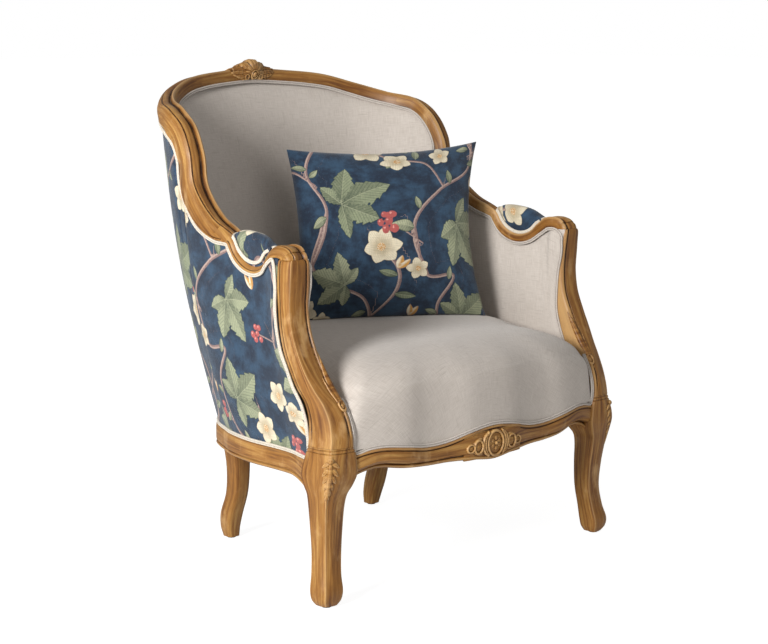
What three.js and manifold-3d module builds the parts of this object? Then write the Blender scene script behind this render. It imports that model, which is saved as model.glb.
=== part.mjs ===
// A bergere armchair: show-wood frame, tight seat, upholstered tub and one loose scatter cushion.
// Millimetres, +Z up. The chair faces -Y and is symmetric in X, apart from the loose cushion.
import * as THREE from "three";
import { mergeVertices } from "three/addons/utils/BufferGeometryUtils.js";
import Module from "manifold-3d";

const wasm = await Module();
wasm.setup();

// Overall sizes
const crestHeight = 948; // floor to the top of the crest rail beside its carving
const armHeight = 649; // floor to the top of the scroll above the arm post
const halfSpan = 395; // centre plane to the outer face of an arm post
const frontReach = 371; // datum plane to the front of the seat rail
const backReach = 363; // datum plane to the back of the crest rail
const fitGap = 0.45; // clearance between pieces that touch
const cutGap = 0.3; // how far a neighbour is grown before it is cut from a piece
const weldSize = 0.03; // points closer than this become one
const sameSize = 0.0001; // points of a primitive closer than this are the same point

// Show-wood section along the crest, wings and arms
const crestHalfWidth = 20;
const wingHalfWidth = 22;
const armHalfWidth = 19.5;
const scrollHalfWidth = 24;
const crestLipInner = 26;
const crestLipOuter = 34;
const wingLipInner = 25;
const wingLipOuter = 44;
const armLip = 17;
const scrollLip = 22;
const lipChamfer = 7;
const tongueInset = 10.5; // how far the tongue behind the lips stands back from both faces
const scrollTongue = 2;
const tongueDepth = 9; // how far the tongue reaches below the deeper lip

// Legs and seat rails
const kneeTop = 296; // floor to the joint between the front leg and the arm post
const railTop = 265; // floor to the top of the side and back seat rails
const railHeight = 40;
const railThickness = 26;
const frontRailThickness = 30;
const frontRailSeat = 262; // top of the front rail behind its lip, where the springs rest
const frontLipThickness = 9;
const cornerRound = 7;
const glideRadius = 9;
const glideHeight = 3;

// Seat and upholstery
const deckHeight = 300; // where the inside arms and back meet the seat deck
const seatTop = 450;
const frontRollHeight = 398;
const cornerRollHeight = 374;
const sideSeatHeight = 428;
const coverThickness = 3;
const weltRadius = 3.6;
const armPadding = 20;
const backPadding = 42;
const backBow = 14;
const armBow = 5;
const panelThickness = 4;
const panelBow = 8; // how far the outside panels swell over the arms
const panelBackBow = 18; // and round the back
const panelBowRow = 6; // where the fuller swell starts
const armPadHeight = 60; // thickest part of the arm pad, before the rail is cut from it
const springWire = 4;
const springSwing = 24;
const springCount = 4;
const springWaves = 6;
const hessianThickness = 1.5;
const dustThickness = 1.5;
const uprightWidth = 26;
const stayHeight = 34;
const blockHeight = 26;
const blockReach = 118;
const screwRadius = 2.6;
const screwHeadRadius = 5;
const screwLength = 20;

// Scatter cushion
const cushionWidth = 400;
const cushionHeight = 378;
const cushionThickness = 132;
const cushionPull = 0.07; // share of a side by which its middle draws in
const cushionX = 98;
const cushionY = 8;
const cushionYaw = -31; // degrees
const cushionLean = 14; // degrees
const cushionSink = 16; // how far its lower edge sinks below the crown of the seat
const fabricThickness = 2.5;

const colours = {
  oak: 0xb98a4e,
  beech: 0xc9ad7f,
  linen: 0xb9ada0,
  print: 0x1f3a52,
  piping: 0xe6dfd2,
  hessian: 0xa88c62,
  foam: 0xe9dfc0,
  wadding: 0xefece4,
  black: 0x26241f,
  steel: 0x9a9da1,
};

// Rows from the right arm post back along the arm and wing to the middle of the crest.
// Each row: top line x, y, z, then the seat rail's outer line x, y, then the inside deck line x, y.
// x is a share of halfSpan, y of backReach or, where negative, of frontReach,
// and z a share of the rise from armHeight to crestHeight.
const tubShares = [
  [0.944, -0.636, -0.05, 0.962, -0.809, 0.846, -0.809],
  [0.942, -0.582, 0, 0.962, -0.755, 0.846, -0.755],
  [0.934, -0.482, 0, 0.947, -0.674, 0.846, -0.66],
  [0.927, -0.412, -0.057, 0.922, -0.588, 0.843, -0.58],
  [0.919, -0.361, -0.114, 0.906, -0.52, 0.841, -0.512],
  [0.914, -0.296, -0.134, 0.899, -0.445, 0.838, -0.431],
  [0.911, -0.226, -0.114, 0.896, -0.364, 0.835, -0.35],
  [0.909, -0.17, -0.064, 0.896, -0.296, 0.83, -0.27],
  [0.906, -0.127, 0.01, 0.894, -0.229, 0.825, -0.199],
  [0.901, -0.067, 0.05, 0.889, -0.167, 0.818, -0.135],
  [0.894, 0.063, 0.12, 0.868, -0.054, 0.8, -0.054],
  [0.878, 0.229, 0.308, 0.843, 0.041, 0.775, 0.028],
  [0.871, 0.273, 0.515, 0.815, 0.11, 0.739, 0.096],
  [0.859, 0.355, 0.676, 0.785, 0.187, 0.696, 0.165],
  [0.843, 0.485, 0.779, 0.744, 0.27, 0.633, 0.237],
  [0.767, 0.669, 0.823, 0.648, 0.391, 0.532, 0.311],
  [0.638, 0.824, 0.886, 0.494, 0.49, 0.405, 0.369],
  [0.466, 0.917, 0.95, 0.342, 0.562, 0.278, 0.405],
  [0.228, 0.981, 0.983, 0.165, 0.614, 0.139, 0.424],
  [0, 1, 1, 0, 0.634, 0, 0.43],
];
const rowLast = tubShares.length - 1; // the row in the middle of the crest
const scrollRow = 2;
const wingBlend = 1.5; // rows over which the arm's section turns into the wing's
const crestBlend = 1.2; // rows each side of the joint where the wing turns into the crest
const dipEndRow = 8;
const wingStartRow = 9.5; // where the arm rail meets the wing rail
const wingEndRow = 14.6; // where the wing rail meets the crest rail
const backPadRow = 10.5;

const yAt = (share) => share * (share < 0 ? frontReach : backReach);
const topLift = (share) => armHeight + share * (crestHeight - armHeight);

function mirroredCurve(pick) {
  const right = tubShares.map(pick);
  const left = right.slice(0, rowLast).reverse();
  const points = right.concat(left.map((p) => new THREE.Vector3(-p.x, p.y, p.z)));
  return new THREE.CatmullRomCurve3(points, false, "centripetal");
}

const topCurve = mirroredCurve((r) => new THREE.Vector3(halfSpan * r[0], yAt(r[1]), topLift(r[2])));
const footCurve = mirroredCurve((r) => new THREE.Vector3(halfSpan * r[3], yAt(r[4]), railTop));
const deckCurve = mirroredCurve((r) => new THREE.Vector3(halfSpan * r[5], yAt(r[6]), deckHeight));
const onCurve = (curve, row) => curve.getPoint(row / (2 * rowLast));
const slope = (curve, row) => {
  const step = 0.05; // share of a row
  const ahead = onCurve(curve, Math.min(row + step, 2 * rowLast));
  return ahead.sub(onCurve(curve, Math.max(row - step, 0)));
};

const mix = (a, b, share) => a + (b - a) * share;
const smooth = (low, high, value) => THREE.MathUtils.smoothstep(value, low, high);
const fold = (row) => Math.min(row, 2 * rowLast - row);

// Directions of the show wood at a row: along it, outwards, and towards its top edge.
function woodFrame(row) {
  const point = onCurve(topCurve, row);
  const along = slope(topCurve, row).normalize();
  const flat = slope(topCurve, row).add(slope(footCurve, row));
  flat.z = 0;
  const rise = onCurve(topCurve, row).sub(onCurve(footCurve, row));
  const out = new THREE.Vector3().crossVectors(flat, rise).normalize();
  out.addScaledVector(along, -out.dot(along)).normalize();
  const edge = new THREE.Vector3().crossVectors(out, along).normalize();
  return { point, along, out, edge };
}

// Widths and lips of the show wood at a row.
function woodSize(row) {
  const q = fold(row);
  const onScroll = 1 - smooth(scrollRow, scrollRow + 2, q);
  const onWing = smooth(dipEndRow, wingStartRow + wingBlend, q);
  const onCrest = smooth(wingEndRow - crestBlend, wingEndRow + crestBlend, q);
  const arm = {
    half: mix(armHalfWidth, scrollHalfWidth, onScroll),
    lip: mix(armLip, scrollLip, onScroll),
  };
  return {
    half: mix(mix(arm.half, wingHalfWidth, onWing), crestHalfWidth, onCrest),
    inner: mix(mix(arm.lip, wingLipInner, onWing), crestLipInner, onCrest),
    outer: mix(mix(arm.lip, wingLipOuter, onWing), crestLipOuter, onCrest),
    tongue: mix(tongueDepth, scrollTongue, onScroll),
  };
}

const offsetPoint = (frame, a, b) =>
  frame.point.clone().addScaledVector(frame.out, a).addScaledVector(frame.edge, b);

// The show wood's section: two lips with eased edges, and a tongue behind them that holds the fabric.
function woodSection(row) {
  const { half, inner, outer, tongue } = woodSize(row);
  const foot = Math.max(inner, outer) + tongue;
  const grip = half - tongueInset;
  const outline = [
    [-half, -inner],
    [-half, -lipChamfer],
    [lipChamfer - half, 0],
    [half - 2 * lipChamfer, 0],
    [half, -2 * lipChamfer],
    [half, -outer],
    [grip, -outer],
    [grip, -foot],
    [-grip, -foot],
    [-grip, -inner],
  ];
  const frame = woodFrame(row);
  return outline.map(([a, b]) => offsetPoint(frame, a, b));
}

// Closed solid from rings of points; flat rings at both ends become its caps.
function loft(rings, options = {}) {
  const count = rings[0].length;
  const positions = rings.flat().flatMap((p) => [p.x, p.y, p.z]);
  const index = [];
  const last = options.closed ? rings.length : rings.length - 1;
  for (let i = 0; i < last; i += 1) {
    const a = i * count;
    const b = ((i + 1) % rings.length) * count;
    for (let j = 0; j < count; j += 1) {
      const k = (j + 1) % count;
      index.push(a + j, a + k, b + k, a + j, b + k, b + j);
    }
  }
  if (!options.closed) {
    capRing(rings[0], 0, index, true);
    capRing(rings[rings.length - 1], (rings.length - 1) * count, index, false);
  }
  return meshFrom(positions, index);
}

function capRing(ring, first, index, reversed) {
  const normal = new THREE.Vector3();
  ring.forEach((p, i) => normal.add(new THREE.Vector3().crossVectors(p, ring[(i + 1) % ring.length])));
  normal.normalize();
  const upright = Math.abs(normal.x) < Math.abs(normal.z);
  const side = upright ? new THREE.Vector3(1, 0, 0) : new THREE.Vector3(0, 0, 1);
  const u = new THREE.Vector3().crossVectors(side, normal).normalize();
  const v = new THREE.Vector3().crossVectors(normal, u);
  const flat = ring.map((p) => new THREE.Vector2(p.dot(u), p.dot(v)));
  THREE.ShapeUtils.triangulateShape(flat, []).forEach(([a, b, c]) => {
    if (reversed) index.push(first + a, first + c, first + b);
    else index.push(first + a, first + b, first + c);
  });
}

// Indexed mesh whose faces point out.
function meshFrom(positions, index) {
  const at = (i) => new THREE.Vector3(positions[3 * i], positions[3 * i + 1], positions[3 * i + 2]);
  let volume = 0;
  for (let i = 0; i < index.length; i += 3) {
    volume += at(index[i]).dot(new THREE.Vector3().crossVectors(at(index[i + 1]), at(index[i + 2])));
  }
  const facing = volume < 0 ? index.map((_, i) => index[i - (i % 3) + ((3 - (i % 3)) % 3)]) : index;
  const geometry = new THREE.BufferGeometry();
  geometry.setAttribute("position", new THREE.Float32BufferAttribute(positions, 3));
  geometry.setIndex(facing);
  return geometry;
}

// Closed sheet between an outer and an inner grid of points with the same rows and columns.
function sheetSolid(outer, inner, wrap = false) {
  const rows = outer.length;
  const cols = outer[0].length;
  const all = outer.flat().concat(inner.flat());
  const index = [];
  const at = (side, i, j) => side * rows * cols + i * cols + (j % cols);
  const lastCol = wrap ? cols : cols - 1;
  const quad = (a, b, c, d) => index.push(a, b, c, a, c, d);
  for (let i = 0; i < rows - 1; i += 1) {
    for (let j = 0; j < lastCol; j += 1) {
      quad(at(0, i, j), at(0, i, j + 1), at(0, i + 1, j + 1), at(0, i + 1, j));
      quad(at(1, i, j), at(1, i + 1, j), at(1, i + 1, j + 1), at(1, i, j + 1));
    }
  }
  for (let j = 0; j < lastCol; j += 1) {
    quad(at(0, 0, j), at(1, 0, j), at(1, 0, j + 1), at(0, 0, j + 1));
    quad(at(0, rows - 1, j), at(0, rows - 1, j + 1), at(1, rows - 1, j + 1), at(1, rows - 1, j));
  }
  if (!wrap) {
    for (let i = 0; i < rows - 1; i += 1) {
      quad(at(0, i, 0), at(0, i + 1, 0), at(1, i + 1, 0), at(1, i, 0));
      quad(at(0, i, cols - 1), at(1, i, cols - 1), at(1, i + 1, cols - 1), at(0, i + 1, cols - 1));
    }
  }
  return meshFrom(all.flatMap((p) => [p.x, p.y, p.z]), index);
}

// The same solid with every face moved out by a distance.
function grown(geometry, distance) {
  const points = geometry.attributes.position;
  const index = geometry.index.array;
  const normals = Array.from({ length: points.count }, () => []);
  const corner = [0, 1, 2].map(() => new THREE.Vector3());
  const sameFacingShare = 0.9999;
  for (let i = 0; i < index.length; i += 3) {
    corner.forEach((c, k) => c.fromBufferAttribute(points, index[i + k]));
    const normal = new THREE.Vector3().crossVectors(
      corner[1].clone().sub(corner[0]),
      corner[2].clone().sub(corner[0]),
    );
    if (normal.lengthSq() === 0) continue;
    normal.normalize();
    for (let k = 0; k < 3; k += 1) {
      const list = normals[index[i + k]];
      if (!list.some((n) => n.dot(normal) > sameFacingShare)) list.push(normal);
    }
  }
  const positions = new Float32Array(points.count * 3);
  for (let i = 0; i < points.count; i += 1) {
    const p = new THREE.Vector3().fromBufferAttribute(points, i);
    p.add(awayFrom(normals[i], distance)).toArray(positions, 3 * i);
  }
  const result = new THREE.BufferGeometry();
  result.setAttribute("position", new THREE.BufferAttribute(positions, 3));
  result.setIndex(Array.from(index));
  return result;
}

// Shift that moves all the faces with these normals out by a distance, as nearly as one shift can.
function awayFrom(normals, distance) {
  const damping = 0.02; // share that keeps the sum solvable
  const farthestShare = 2.5;
  const m = [damping, 0, 0, 0, damping, 0, 0, 0, damping];
  const rhs = new THREE.Vector3();
  normals.forEach((n) => {
    const v = n.toArray();
    for (let r = 0; r < 3; r += 1) {
      for (let c = 0; c < 3; c += 1) m[3 * r + c] += v[r] * v[c];
    }
    rhs.addScaledVector(n, distance);
  });
  const shift = rhs.applyMatrix3(new THREE.Matrix3().set(...m).invert());
  return shift.clampLength(0, farthestShare * distance);
}

function solidOf(geometry) {
  const vertProperties = new Float32Array(geometry.attributes.position.array);
  const triVerts = new Uint32Array(geometry.index.array);
  return new wasm.Manifold(new wasm.Mesh({ numProp: 3, vertProperties, triVerts }));
}

// Back from a solid to a mesh, keeping only its largest body.
function geometryOf(solid) {
  const mesh = solid.getMesh();
  const at = (i) => new THREE.Vector3().fromArray(mesh.vertProperties, mesh.numProp * i);
  const owner = Array.from({ length: mesh.vertProperties.length / mesh.numProp }, (_, i) => i);
  const find = (i) => {
    let root = i;
    while (owner[root] !== root) root = owner[root];
    owner[i] = root;
    return root;
  };
  const tris = mesh.triVerts;
  for (let i = 0; i < tris.length; i += 3) {
    owner[find(tris[i])] = find(tris[i + 1]);
    owner[find(tris[i + 1])] = find(tris[i + 2]);
  }
  const volumes = new Map();
  for (let i = 0; i < tris.length; i += 3) {
    const part = at(tris[i]).dot(new THREE.Vector3().crossVectors(at(tris[i + 1]), at(tris[i + 2])));
    const root = find(tris[i]);
    volumes.set(root, (volumes.get(root) ?? 0) + part);
  }
  const largest = [...volumes.entries()].sort((a, b) => b[1] - a[1])[0][0];
  const renumbered = new Map();
  const positions = [];
  const index = [];
  for (let i = 0; i < tris.length; i += 1) {
    const vertex = tris[i];
    if (find(vertex) !== largest) continue;
    if (!renumbered.has(vertex)) {
      renumbered.set(vertex, renumbered.size);
      positions.push(...at(vertex).toArray());
    }
    index.push(renumbered.get(vertex));
  }
  return welded(positions, index);
}

// A mesh whose shortest edges are closed up, unless that would open it.
function welded(positions, index) {
  const points = [];
  const at = (i) => new THREE.Vector3().fromArray(positions, 3 * i);
  const cells = new Map();
  const cell = (p, dx, dy, dz) => {
    const [x, y, z] = p.toArray().map((value) => Math.floor(value / weldSize));
    return [x + dx, y + dy, z + dz].join();
  };
  const near = (p) => {
    for (let dx = -1; dx <= 1; dx += 1) {
      for (let dy = -1; dy <= 1; dy += 1) {
        for (let dz = -1; dz <= 1; dz += 1) {
          const list = cells.get(cell(p, dx, dy, dz)) ?? [];
          const found = list.find((i) => points[i].distanceTo(p) < weldSize);
          if (found !== undefined) return found;
        }
      }
    }
    return -1;
  };
  const renamed = Array.from({ length: positions.length / 3 }, (_, i) => {
    const p = at(i);
    const found = near(p);
    if (found >= 0) return found;
    points.push(p);
    const key = cell(p, 0, 0, 0);
    cells.set(key, [...(cells.get(key) ?? []), points.length - 1]);
    return points.length - 1;
  });
  const kept = [];
  for (let i = 0; i < index.length; i += 3) {
    const [a, b, c] = [renamed[index[i]], renamed[index[i + 1]], renamed[index[i + 2]]];
    if (a !== b && b !== c && a !== c) kept.push(a, b, c);
  }
  if (!isClosed(kept)) return meshFrom(positions, index);
  return meshFrom(points.flatMap((p) => [p.x, p.y, p.z]), kept);
}

// Each edge is used once each way.
function isClosed(index) {
  const edges = new Set();
  for (let i = 0; i < index.length; i += 3) {
    for (let k = 0; k < 3; k += 1) {
      const edge = `${index[i + k]},${index[i + ((k + 1) % 3)]}`;
      if (edges.has(edge)) return false;
      edges.add(edge);
    }
  }
  return [...edges].every((edge) => edges.has(edge.split(",").reverse().join()));
}

const grownSolids = new Map();
function grownSolid(geometry) {
  if (!grownSolids.has(geometry)) grownSolids.set(geometry, solidOf(grown(geometry, cutGap)));
  return grownSolids.get(geometry);
}

// A piece with room cut into it for its neighbours.
function fitTo(geometry, neighbours) {
  let solid = solidOf(geometry);
  neighbours.forEach((n) => {
    solid = solid.subtract(grownSolid(n));
  });
  return geometryOf(solid);
}

function joined(geometries) {
  let solid = solidOf(geometries[0]);
  geometries.slice(1).forEach((g) => {
    solid = solid.add(solidOf(g));
  });
  return geometryOf(solid);
}

function mirrored(geometry) {
  const points = geometry.attributes.position;
  const positions = [];
  for (let i = 0; i < points.count; i += 1) positions.push(-points.getX(i), points.getY(i), points.getZ(i));
  return meshFrom(positions, Array.from(geometry.index.array));
}

const spread = (from, to, count) => Array.from({ length: count + 1 }, (_, i) => mix(from, to, i / count));
const v3 = (x, y, z) => new THREE.Vector3(x, y, z);

// Round tube whose rings stand at the given points, with flat ends or closed into a loop.
function tube(points, radius, sides, closed = false) {
  const count = points.length;
  const tangents = points.map((_, i) => {
    const ahead = closed ? points[(i + 1) % count] : points[Math.min(i + 1, count - 1)];
    const behind = closed ? points[(i + count - 1) % count] : points[Math.max(i - 1, 0)];
    return ahead.clone().sub(behind).normalize();
  });
  const across = (normal, tangent) => normal.addScaledVector(tangent, -normal.dot(tangent)).normalize();
  const normals = [across(v3(tangents[0].z, tangents[0].x, tangents[0].y), tangents[0])];
  for (let i = 1; i < count; i += 1) normals.push(across(normals[i - 1].clone(), tangents[i]));
  const back = across(normals[count - 1].clone(), tangents[0]);
  const turn = new THREE.Vector3().crossVectors(back, normals[0]).dot(tangents[0]);
  const twist = closed ? Math.atan2(turn, back.dot(normals[0])) : 0;
  const rings = points.map((point, i) => {
    const normal = normals[i].clone().applyAxisAngle(tangents[i], (twist * i) / count);
    const side = new THREE.Vector3().crossVectors(tangents[i], normal);
    return spread(0, 2 * Math.PI, sides).slice(0, sides).map((angle) =>
      point
        .clone()
        .addScaledVector(normal, radius * Math.cos(angle))
        .addScaledVector(side, radius * Math.sin(angle)),
    );
  });
  return loft(rings, { closed });
}

// A level ring with eased corners, and a bevel of its own at the outer front corner.
function easedRing(xIn, xOut, yFront, yBack, z, bevel) {
  const round = Math.min(cornerRound, (xOut - xIn) / 3, (yBack - yFront) / 3);
  const corners = [
    [xOut, yFront, -1, 1, true, Math.max(bevel, round)],
    [xOut, yBack, -1, -1, false, round],
    [xIn, yBack, 1, -1, true, round],
    [xIn, yFront, 1, 1, false, round],
  ];
  return corners.flatMap(([x, y, sx, sy, sideFirst, r]) => {
    const onX = v3(x + sx * r, y, z);
    const onY = v3(x, y + sy * r, z);
    return sideFirst ? [onX, onY] : [onY, onX];
  });
}

// Crest, wings and arms: the same section swept along the top line.
const armWoodRows = spread(0, wingStartRow, 14);
const wingWoodRows = spread(wingStartRow, wingEndRow, 6);
const crestWoodRows = spread(wingEndRow, 2 * rowLast - wingEndRow, 12);
const otherSide = (rows) => rows.map((row) => 2 * rowLast - row).reverse();
function joinGap(rows, atStart, atEnd) {
  return rows.map((row, i) => {
    if (i === 0) return row + atStart;
    return i === rows.length - 1 ? row - atEnd : row;
  });
}
const showWood = (rows) => loft(rows.map(woodSection));

// A raised carved lobe: a squashed ball at a place, long in one direction.
function lobe(place, lengthways, outwards, size) {
  const ball = new THREE.SphereGeometry(1, 8, 4);
  const across = new THREE.Vector3().crossVectors(outwards, lengthways).normalize();
  const long = new THREE.Vector3().crossVectors(across, outwards).normalize();
  const turn = new THREE.Matrix4().makeBasis(
    long.multiplyScalar(size[0]),
    across.multiplyScalar(size[1]),
    outwards.clone().normalize().multiplyScalar(size[2]),
  );
  ball.applyMatrix4(turn);
  ball.translate(place.x, place.y, place.z);
  ball.deleteAttribute("normal");
  ball.deleteAttribute("uv");
  return mergeVertices(ball, sameSize);
}

const carvingRise = 17; // how far the crest flower stands above the rail
const petalLength = 24;
const petalWidth = 14;
const petalDepth = 11;
const leafReach = 50; // centre plane to the middle of a crest leaf
const leafLength = 28;

function crestCarving() {
  const middle = woodFrame(rowLast);
  const face = v3(0, -middle.out.y, -middle.out.z);
  const centre = offsetPoint(middle, -crestHalfWidth / 2, -petalDepth / 2);
  const petals = [-1, 0, 1].map((k) => {
    const aim = v3(k * petalLength, 0, carvingRise).normalize();
    const place = centre.clone().addScaledVector(aim, petalLength / 3);
    return lobe(place, aim, face, [petalLength - petalWidth / 2 + Math.abs(k), petalWidth, petalDepth]);
  });
  const leaves = [-1, 1].map((k) => {
    const row = rowLast - (k * leafReach) / (halfSpan * tubShares[rowLast - 1][0]);
    const frame = woodFrame(row);
    const place = offsetPoint(frame, -crestHalfWidth / 2, -petalDepth / 2);
    return lobe(place, frame.along, face, [leafLength, petalWidth, petalDepth]);
  });
  return petals.concat(leaves);
}

const crestRail = joined([showWood(crestWoodRows), ...crestCarving()]);

const rowGap = (row) => fitGap / onCurve(topCurve, row - 0.5).distanceTo(onCurve(topCurve, row + 0.5));
const wingRail = showWood(joinGap(wingWoodRows, rowGap(wingStartRow), rowGap(wingEndRow)));
const armRail = showWood(joinGap(armWoodRows, 0, rowGap(wingStartRow)));

// Arm post, at a share of its height: inner x, outer x, front y, back y as shares of halfSpan and
// frontReach, then the bevel of its outer front corner as a share of frontBevel.
const frontBevel = 34;
const postShares = [
  [0, 0.843, 0.987, -0.906, -0.733, 1],
  [0.05, 0.843, 0.982, -0.903, -0.733, 1],
  [0.13, 0.846, 0.977, -0.887, -0.728, 1],
  [0.22, 0.851, 0.977, -0.846, -0.701, 0.85],
  [0.31, 0.861, 0.987, -0.782, -0.647, 0.53],
  [0.4, 0.868, 0.995, -0.728, -0.609, 0.3],
  [0.5, 0.871, 0.997, -0.679, -0.566, 0.2],
  [0.62, 0.871, 0.997, -0.636, -0.539, 0.2],
  [0.74, 0.873, 0.997, -0.623, -0.528, 0.2],
  [0.86, 0.873, 1, -0.631, -0.528, 0.2],
  [1, 0.881, 1, -0.642, -0.534, 0.2],
];
const postTop = armHeight - scrollLip; // the arm rail then trims the post to its own underside
const postBottom = kneeTop + fitGap;
const postRings = postShares.map(([rise, xIn, xOut, yFront, yBack, bevel]) =>
  easedRing(
    xIn * halfSpan,
    xOut * halfSpan,
    yFront * frontReach,
    yBack * frontReach,
    mix(postBottom, postTop, rise),
    bevel * frontBevel,
  ),
);
const armPost = fitTo(loft(postRings), [armRail]);

// Front leg: height as a share of kneeTop, then the ring's sides as on the post.
const legShares = [
  [0, 0.908, 0.98, -0.856, -0.778, 0.4],
  [0.035, 0.895, 0.997, -0.872, -0.766, 0.42],
  [0.09, 0.888, 1.001, -0.879, -0.76, 0.42],
  [0.19, 0.882, 0.985, -0.86, -0.75, 0.42],
  [0.33, 0.87, 0.972, -0.846, -0.737, 0.42],
  [0.5, 0.867, 0.978, -0.853, -0.733, 0.4],
  [0.63, 0.868, 0.988, -0.868, -0.734, 0.42],
  [0.7, 0.862, 0.993, -0.88, -0.73, 0.5],
  [0.76, 0.838, 0.997, -0.895, -0.709, 0.62],
  [0.82, 0.822, 0.997, -0.906, -0.695, 0.62],
  [0.93, 0.827, 0.99, -0.907, -0.714, 0.71],
  [1, 0.843, 0.987, -0.906, -0.733, 1],
];
const legRings = legShares.map(([rise, xIn, xOut, yFront, yBack, bevel]) =>
  easedRing(
    xIn * halfSpan,
    xOut * halfSpan,
    yFront * frontReach,
    yBack * frontReach,
    mix(glideHeight, kneeTop, rise),
    bevel * frontBevel,
  ),
);
const kneeCarvingShare = 0.85; // of the leg's height
const kneeLobe = [26, 12, 7];
const kneePlaceShares = [0.965, -0.876];
const kneePlace = v3(
  kneePlaceShares[0] * halfSpan,
  kneePlaceShares[1] * frontReach,
  kneeCarvingShare * kneeTop,
);
const frontLeg = joined([loft(legRings), lobe(kneePlace, v3(0, 0, 1), v3(1, -1, 0), kneeLobe)]);

// Back leg: height as a share of railTop, centre x and y as shares, and its half width.
const backLegShares = [
  [0, 0.501, 0.507, 0.68],
  [0.09, 0.508, 0.504, 0.86],
  [0.2, 0.511, 0.485, 0.97],
  [0.36, 0.506, 0.446, 0.95],
  [0.57, 0.514, 0.421, 1],
  [0.77, 0.532, 0.413, 1.12],
  [0.9, 0.551, 0.413, 1.2],
  [1, 0.556, 0.413, 1.2],
];
const backLegHalf = 20;
const backLegRings = backLegShares.map(([rise, x, y, width]) =>
  easedRing(
    x * halfSpan - backLegHalf * width,
    x * halfSpan + backLegHalf * width,
    y * backReach - backLegHalf * width,
    y * backReach + backLegHalf * width,
    mix(glideHeight, railTop, rise),
    0,
  ),
);
const backLeg = loft(backLegRings);

const glide = (x, y) => {
  const disc = new THREE.CylinderGeometry(glideRadius, glideRadius, glideHeight - fitGap, 8);
  disc.rotateX(Math.PI / 2);
  disc.translate(x, y, (glideHeight - fitGap) / 2);
  disc.deleteAttribute("normal");
  disc.deleteAttribute("uv");
  return mergeVertices(disc, sameSize);
};
const footCentre = (ring) => new THREE.Box3().setFromPoints(ring).getCenter(v3(0, 0, 0));
const frontFoot = footCentre(legRings[0]);
const backFoot = footCentre(backLegRings[0]);

// Front seat rail: share of its half length, then the front face's y at the top and at the underside as
// shares, then the top's and the underside's rise as shares of frontWave.
const frontTop = 280;
const frontUnder = 234;
const frontWave = 11;
const frontShares = [
  [0, -0.995, -0.995, 1.05, -0.75],
  [0.17, -0.992, -0.99, 0.5, -0.2],
  [0.33, -0.968, -0.965, -0.6, 0.05],
  [0.48, -0.957, -0.952, -0.8, 0.1],
  [0.63, -0.962, -0.933, -0.1, 0.35],
  [0.82, -0.93, -0.885, 0.5, 1.15],
  [1, -0.888, -0.84, -0.3, 1.3],
];
const frontHalfShare = 0.86;
const frontHalf = frontHalfShare * halfSpan;
const frontCurve = (pickY, base, pickRise) => {
  const right = frontShares.map((row) =>
    v3(row[0] * frontHalf, row[pickY] * frontReach, base + row[pickRise] * frontWave),
  );
  const left = right.slice(1).reverse().map((p) => v3(-p.x, p.y, p.z));
  return new THREE.CatmullRomCurve3(left.concat(right), false, "centripetal");
};
const frontLine = frontCurve(1, frontTop, 3);
const frontUnderLine = frontCurve(2, frontUnder, 4);
const frontFaceShare = 0.4; // of the rail's height, up to where its face turns upright
function frontRailRing(share) {
  const top = frontLine.getPoint(share);
  const under = frontUnderLine.getPoint(share);
  const back = top.y + frontRailThickness;
  const lip = top.y + frontLipThickness;
  return [
    v3(top.x, under.y, under.z),
    v3(top.x, top.y, mix(under.z, top.z, frontFaceShare)),
    v3(top.x, top.y, top.z - cornerRound / 2),
    v3(top.x, top.y + cornerRound / 3, top.z),
    v3(top.x, lip, top.z),
    v3(top.x, lip, frontRailSeat),
    v3(top.x, back, frontRailSeat),
    v3(top.x, back, under.z),
  ];
}
const cartoucheSize = [30, 17, 8];
const cartoucheLeaf = [26, 10, 6];
const cartoucheReach = 44;
const cartoucheYShare = -0.99;
const cartoucheZShares = [0.5, 0.55]; // the middle's and the leaves' height, from the underside to the top
const cartoucheY = cartoucheYShare * frontReach;
const cartouche = [
  lobe(
    v3(0, cartoucheY, mix(frontUnder, frontTop, cartoucheZShares[0])),
    v3(1, 0, 0),
    v3(0, -1, 0),
    cartoucheSize,
  ),
  ...[-1, 1].map((k) =>
    lobe(
      v3(k * cartoucheReach, cartoucheY, mix(frontUnder, frontTop, cartoucheZShares[1])),
      v3(1, 0, 0),
      v3(0, -1, 0),
      cartoucheLeaf,
    ),
  ),
];
const frontLegs = [frontLeg, mirrored(frontLeg)];
const posts = [armPost, mirrored(armPost)];
const frontRail = fitTo(
  joined([loft(spread(0, 1, 16).map(frontRailRing)), ...cartouche]),
  [...frontLegs, ...posts],
);

// Side and back seat rails follow the outer line of the tub.
const railProud = 6; // the rail's face stands this far outside the fabric
function railRing(row, inset = 0) {
  const line = onCurve(footCurve, row);
  const along = slope(footCurve, row);
  const out = v3(along.y, -along.x, 0).normalize();
  const face = line.clone().addScaledVector(out, railProud - inset);
  const back = line.clone().addScaledVector(out, railProud - railThickness);
  const low = railTop - railHeight;
  return [
    v3(face.x, face.y, low),
    v3(face.x, face.y, railTop),
    v3(back.x, back.y, railTop),
    v3(back.x, back.y, low),
  ];
}
const sideRailRows = [1.2, 15.55];
const sideRail = fitTo(loft(spread(sideRailRows[0], sideRailRows[1], 10).map((row) => railRing(row))), [
  frontLeg,
  backLeg,
]);
const backLegs = [backLeg, mirrored(backLeg)];
const backRailStart = 15.55;
const backRail = fitTo(
  loft(spread(backRailStart, 2 * rowLast - backRailStart, 10).map((row) => railRing(row))),
  [...backLegs, sideRail, mirrored(sideRail)],
);

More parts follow.
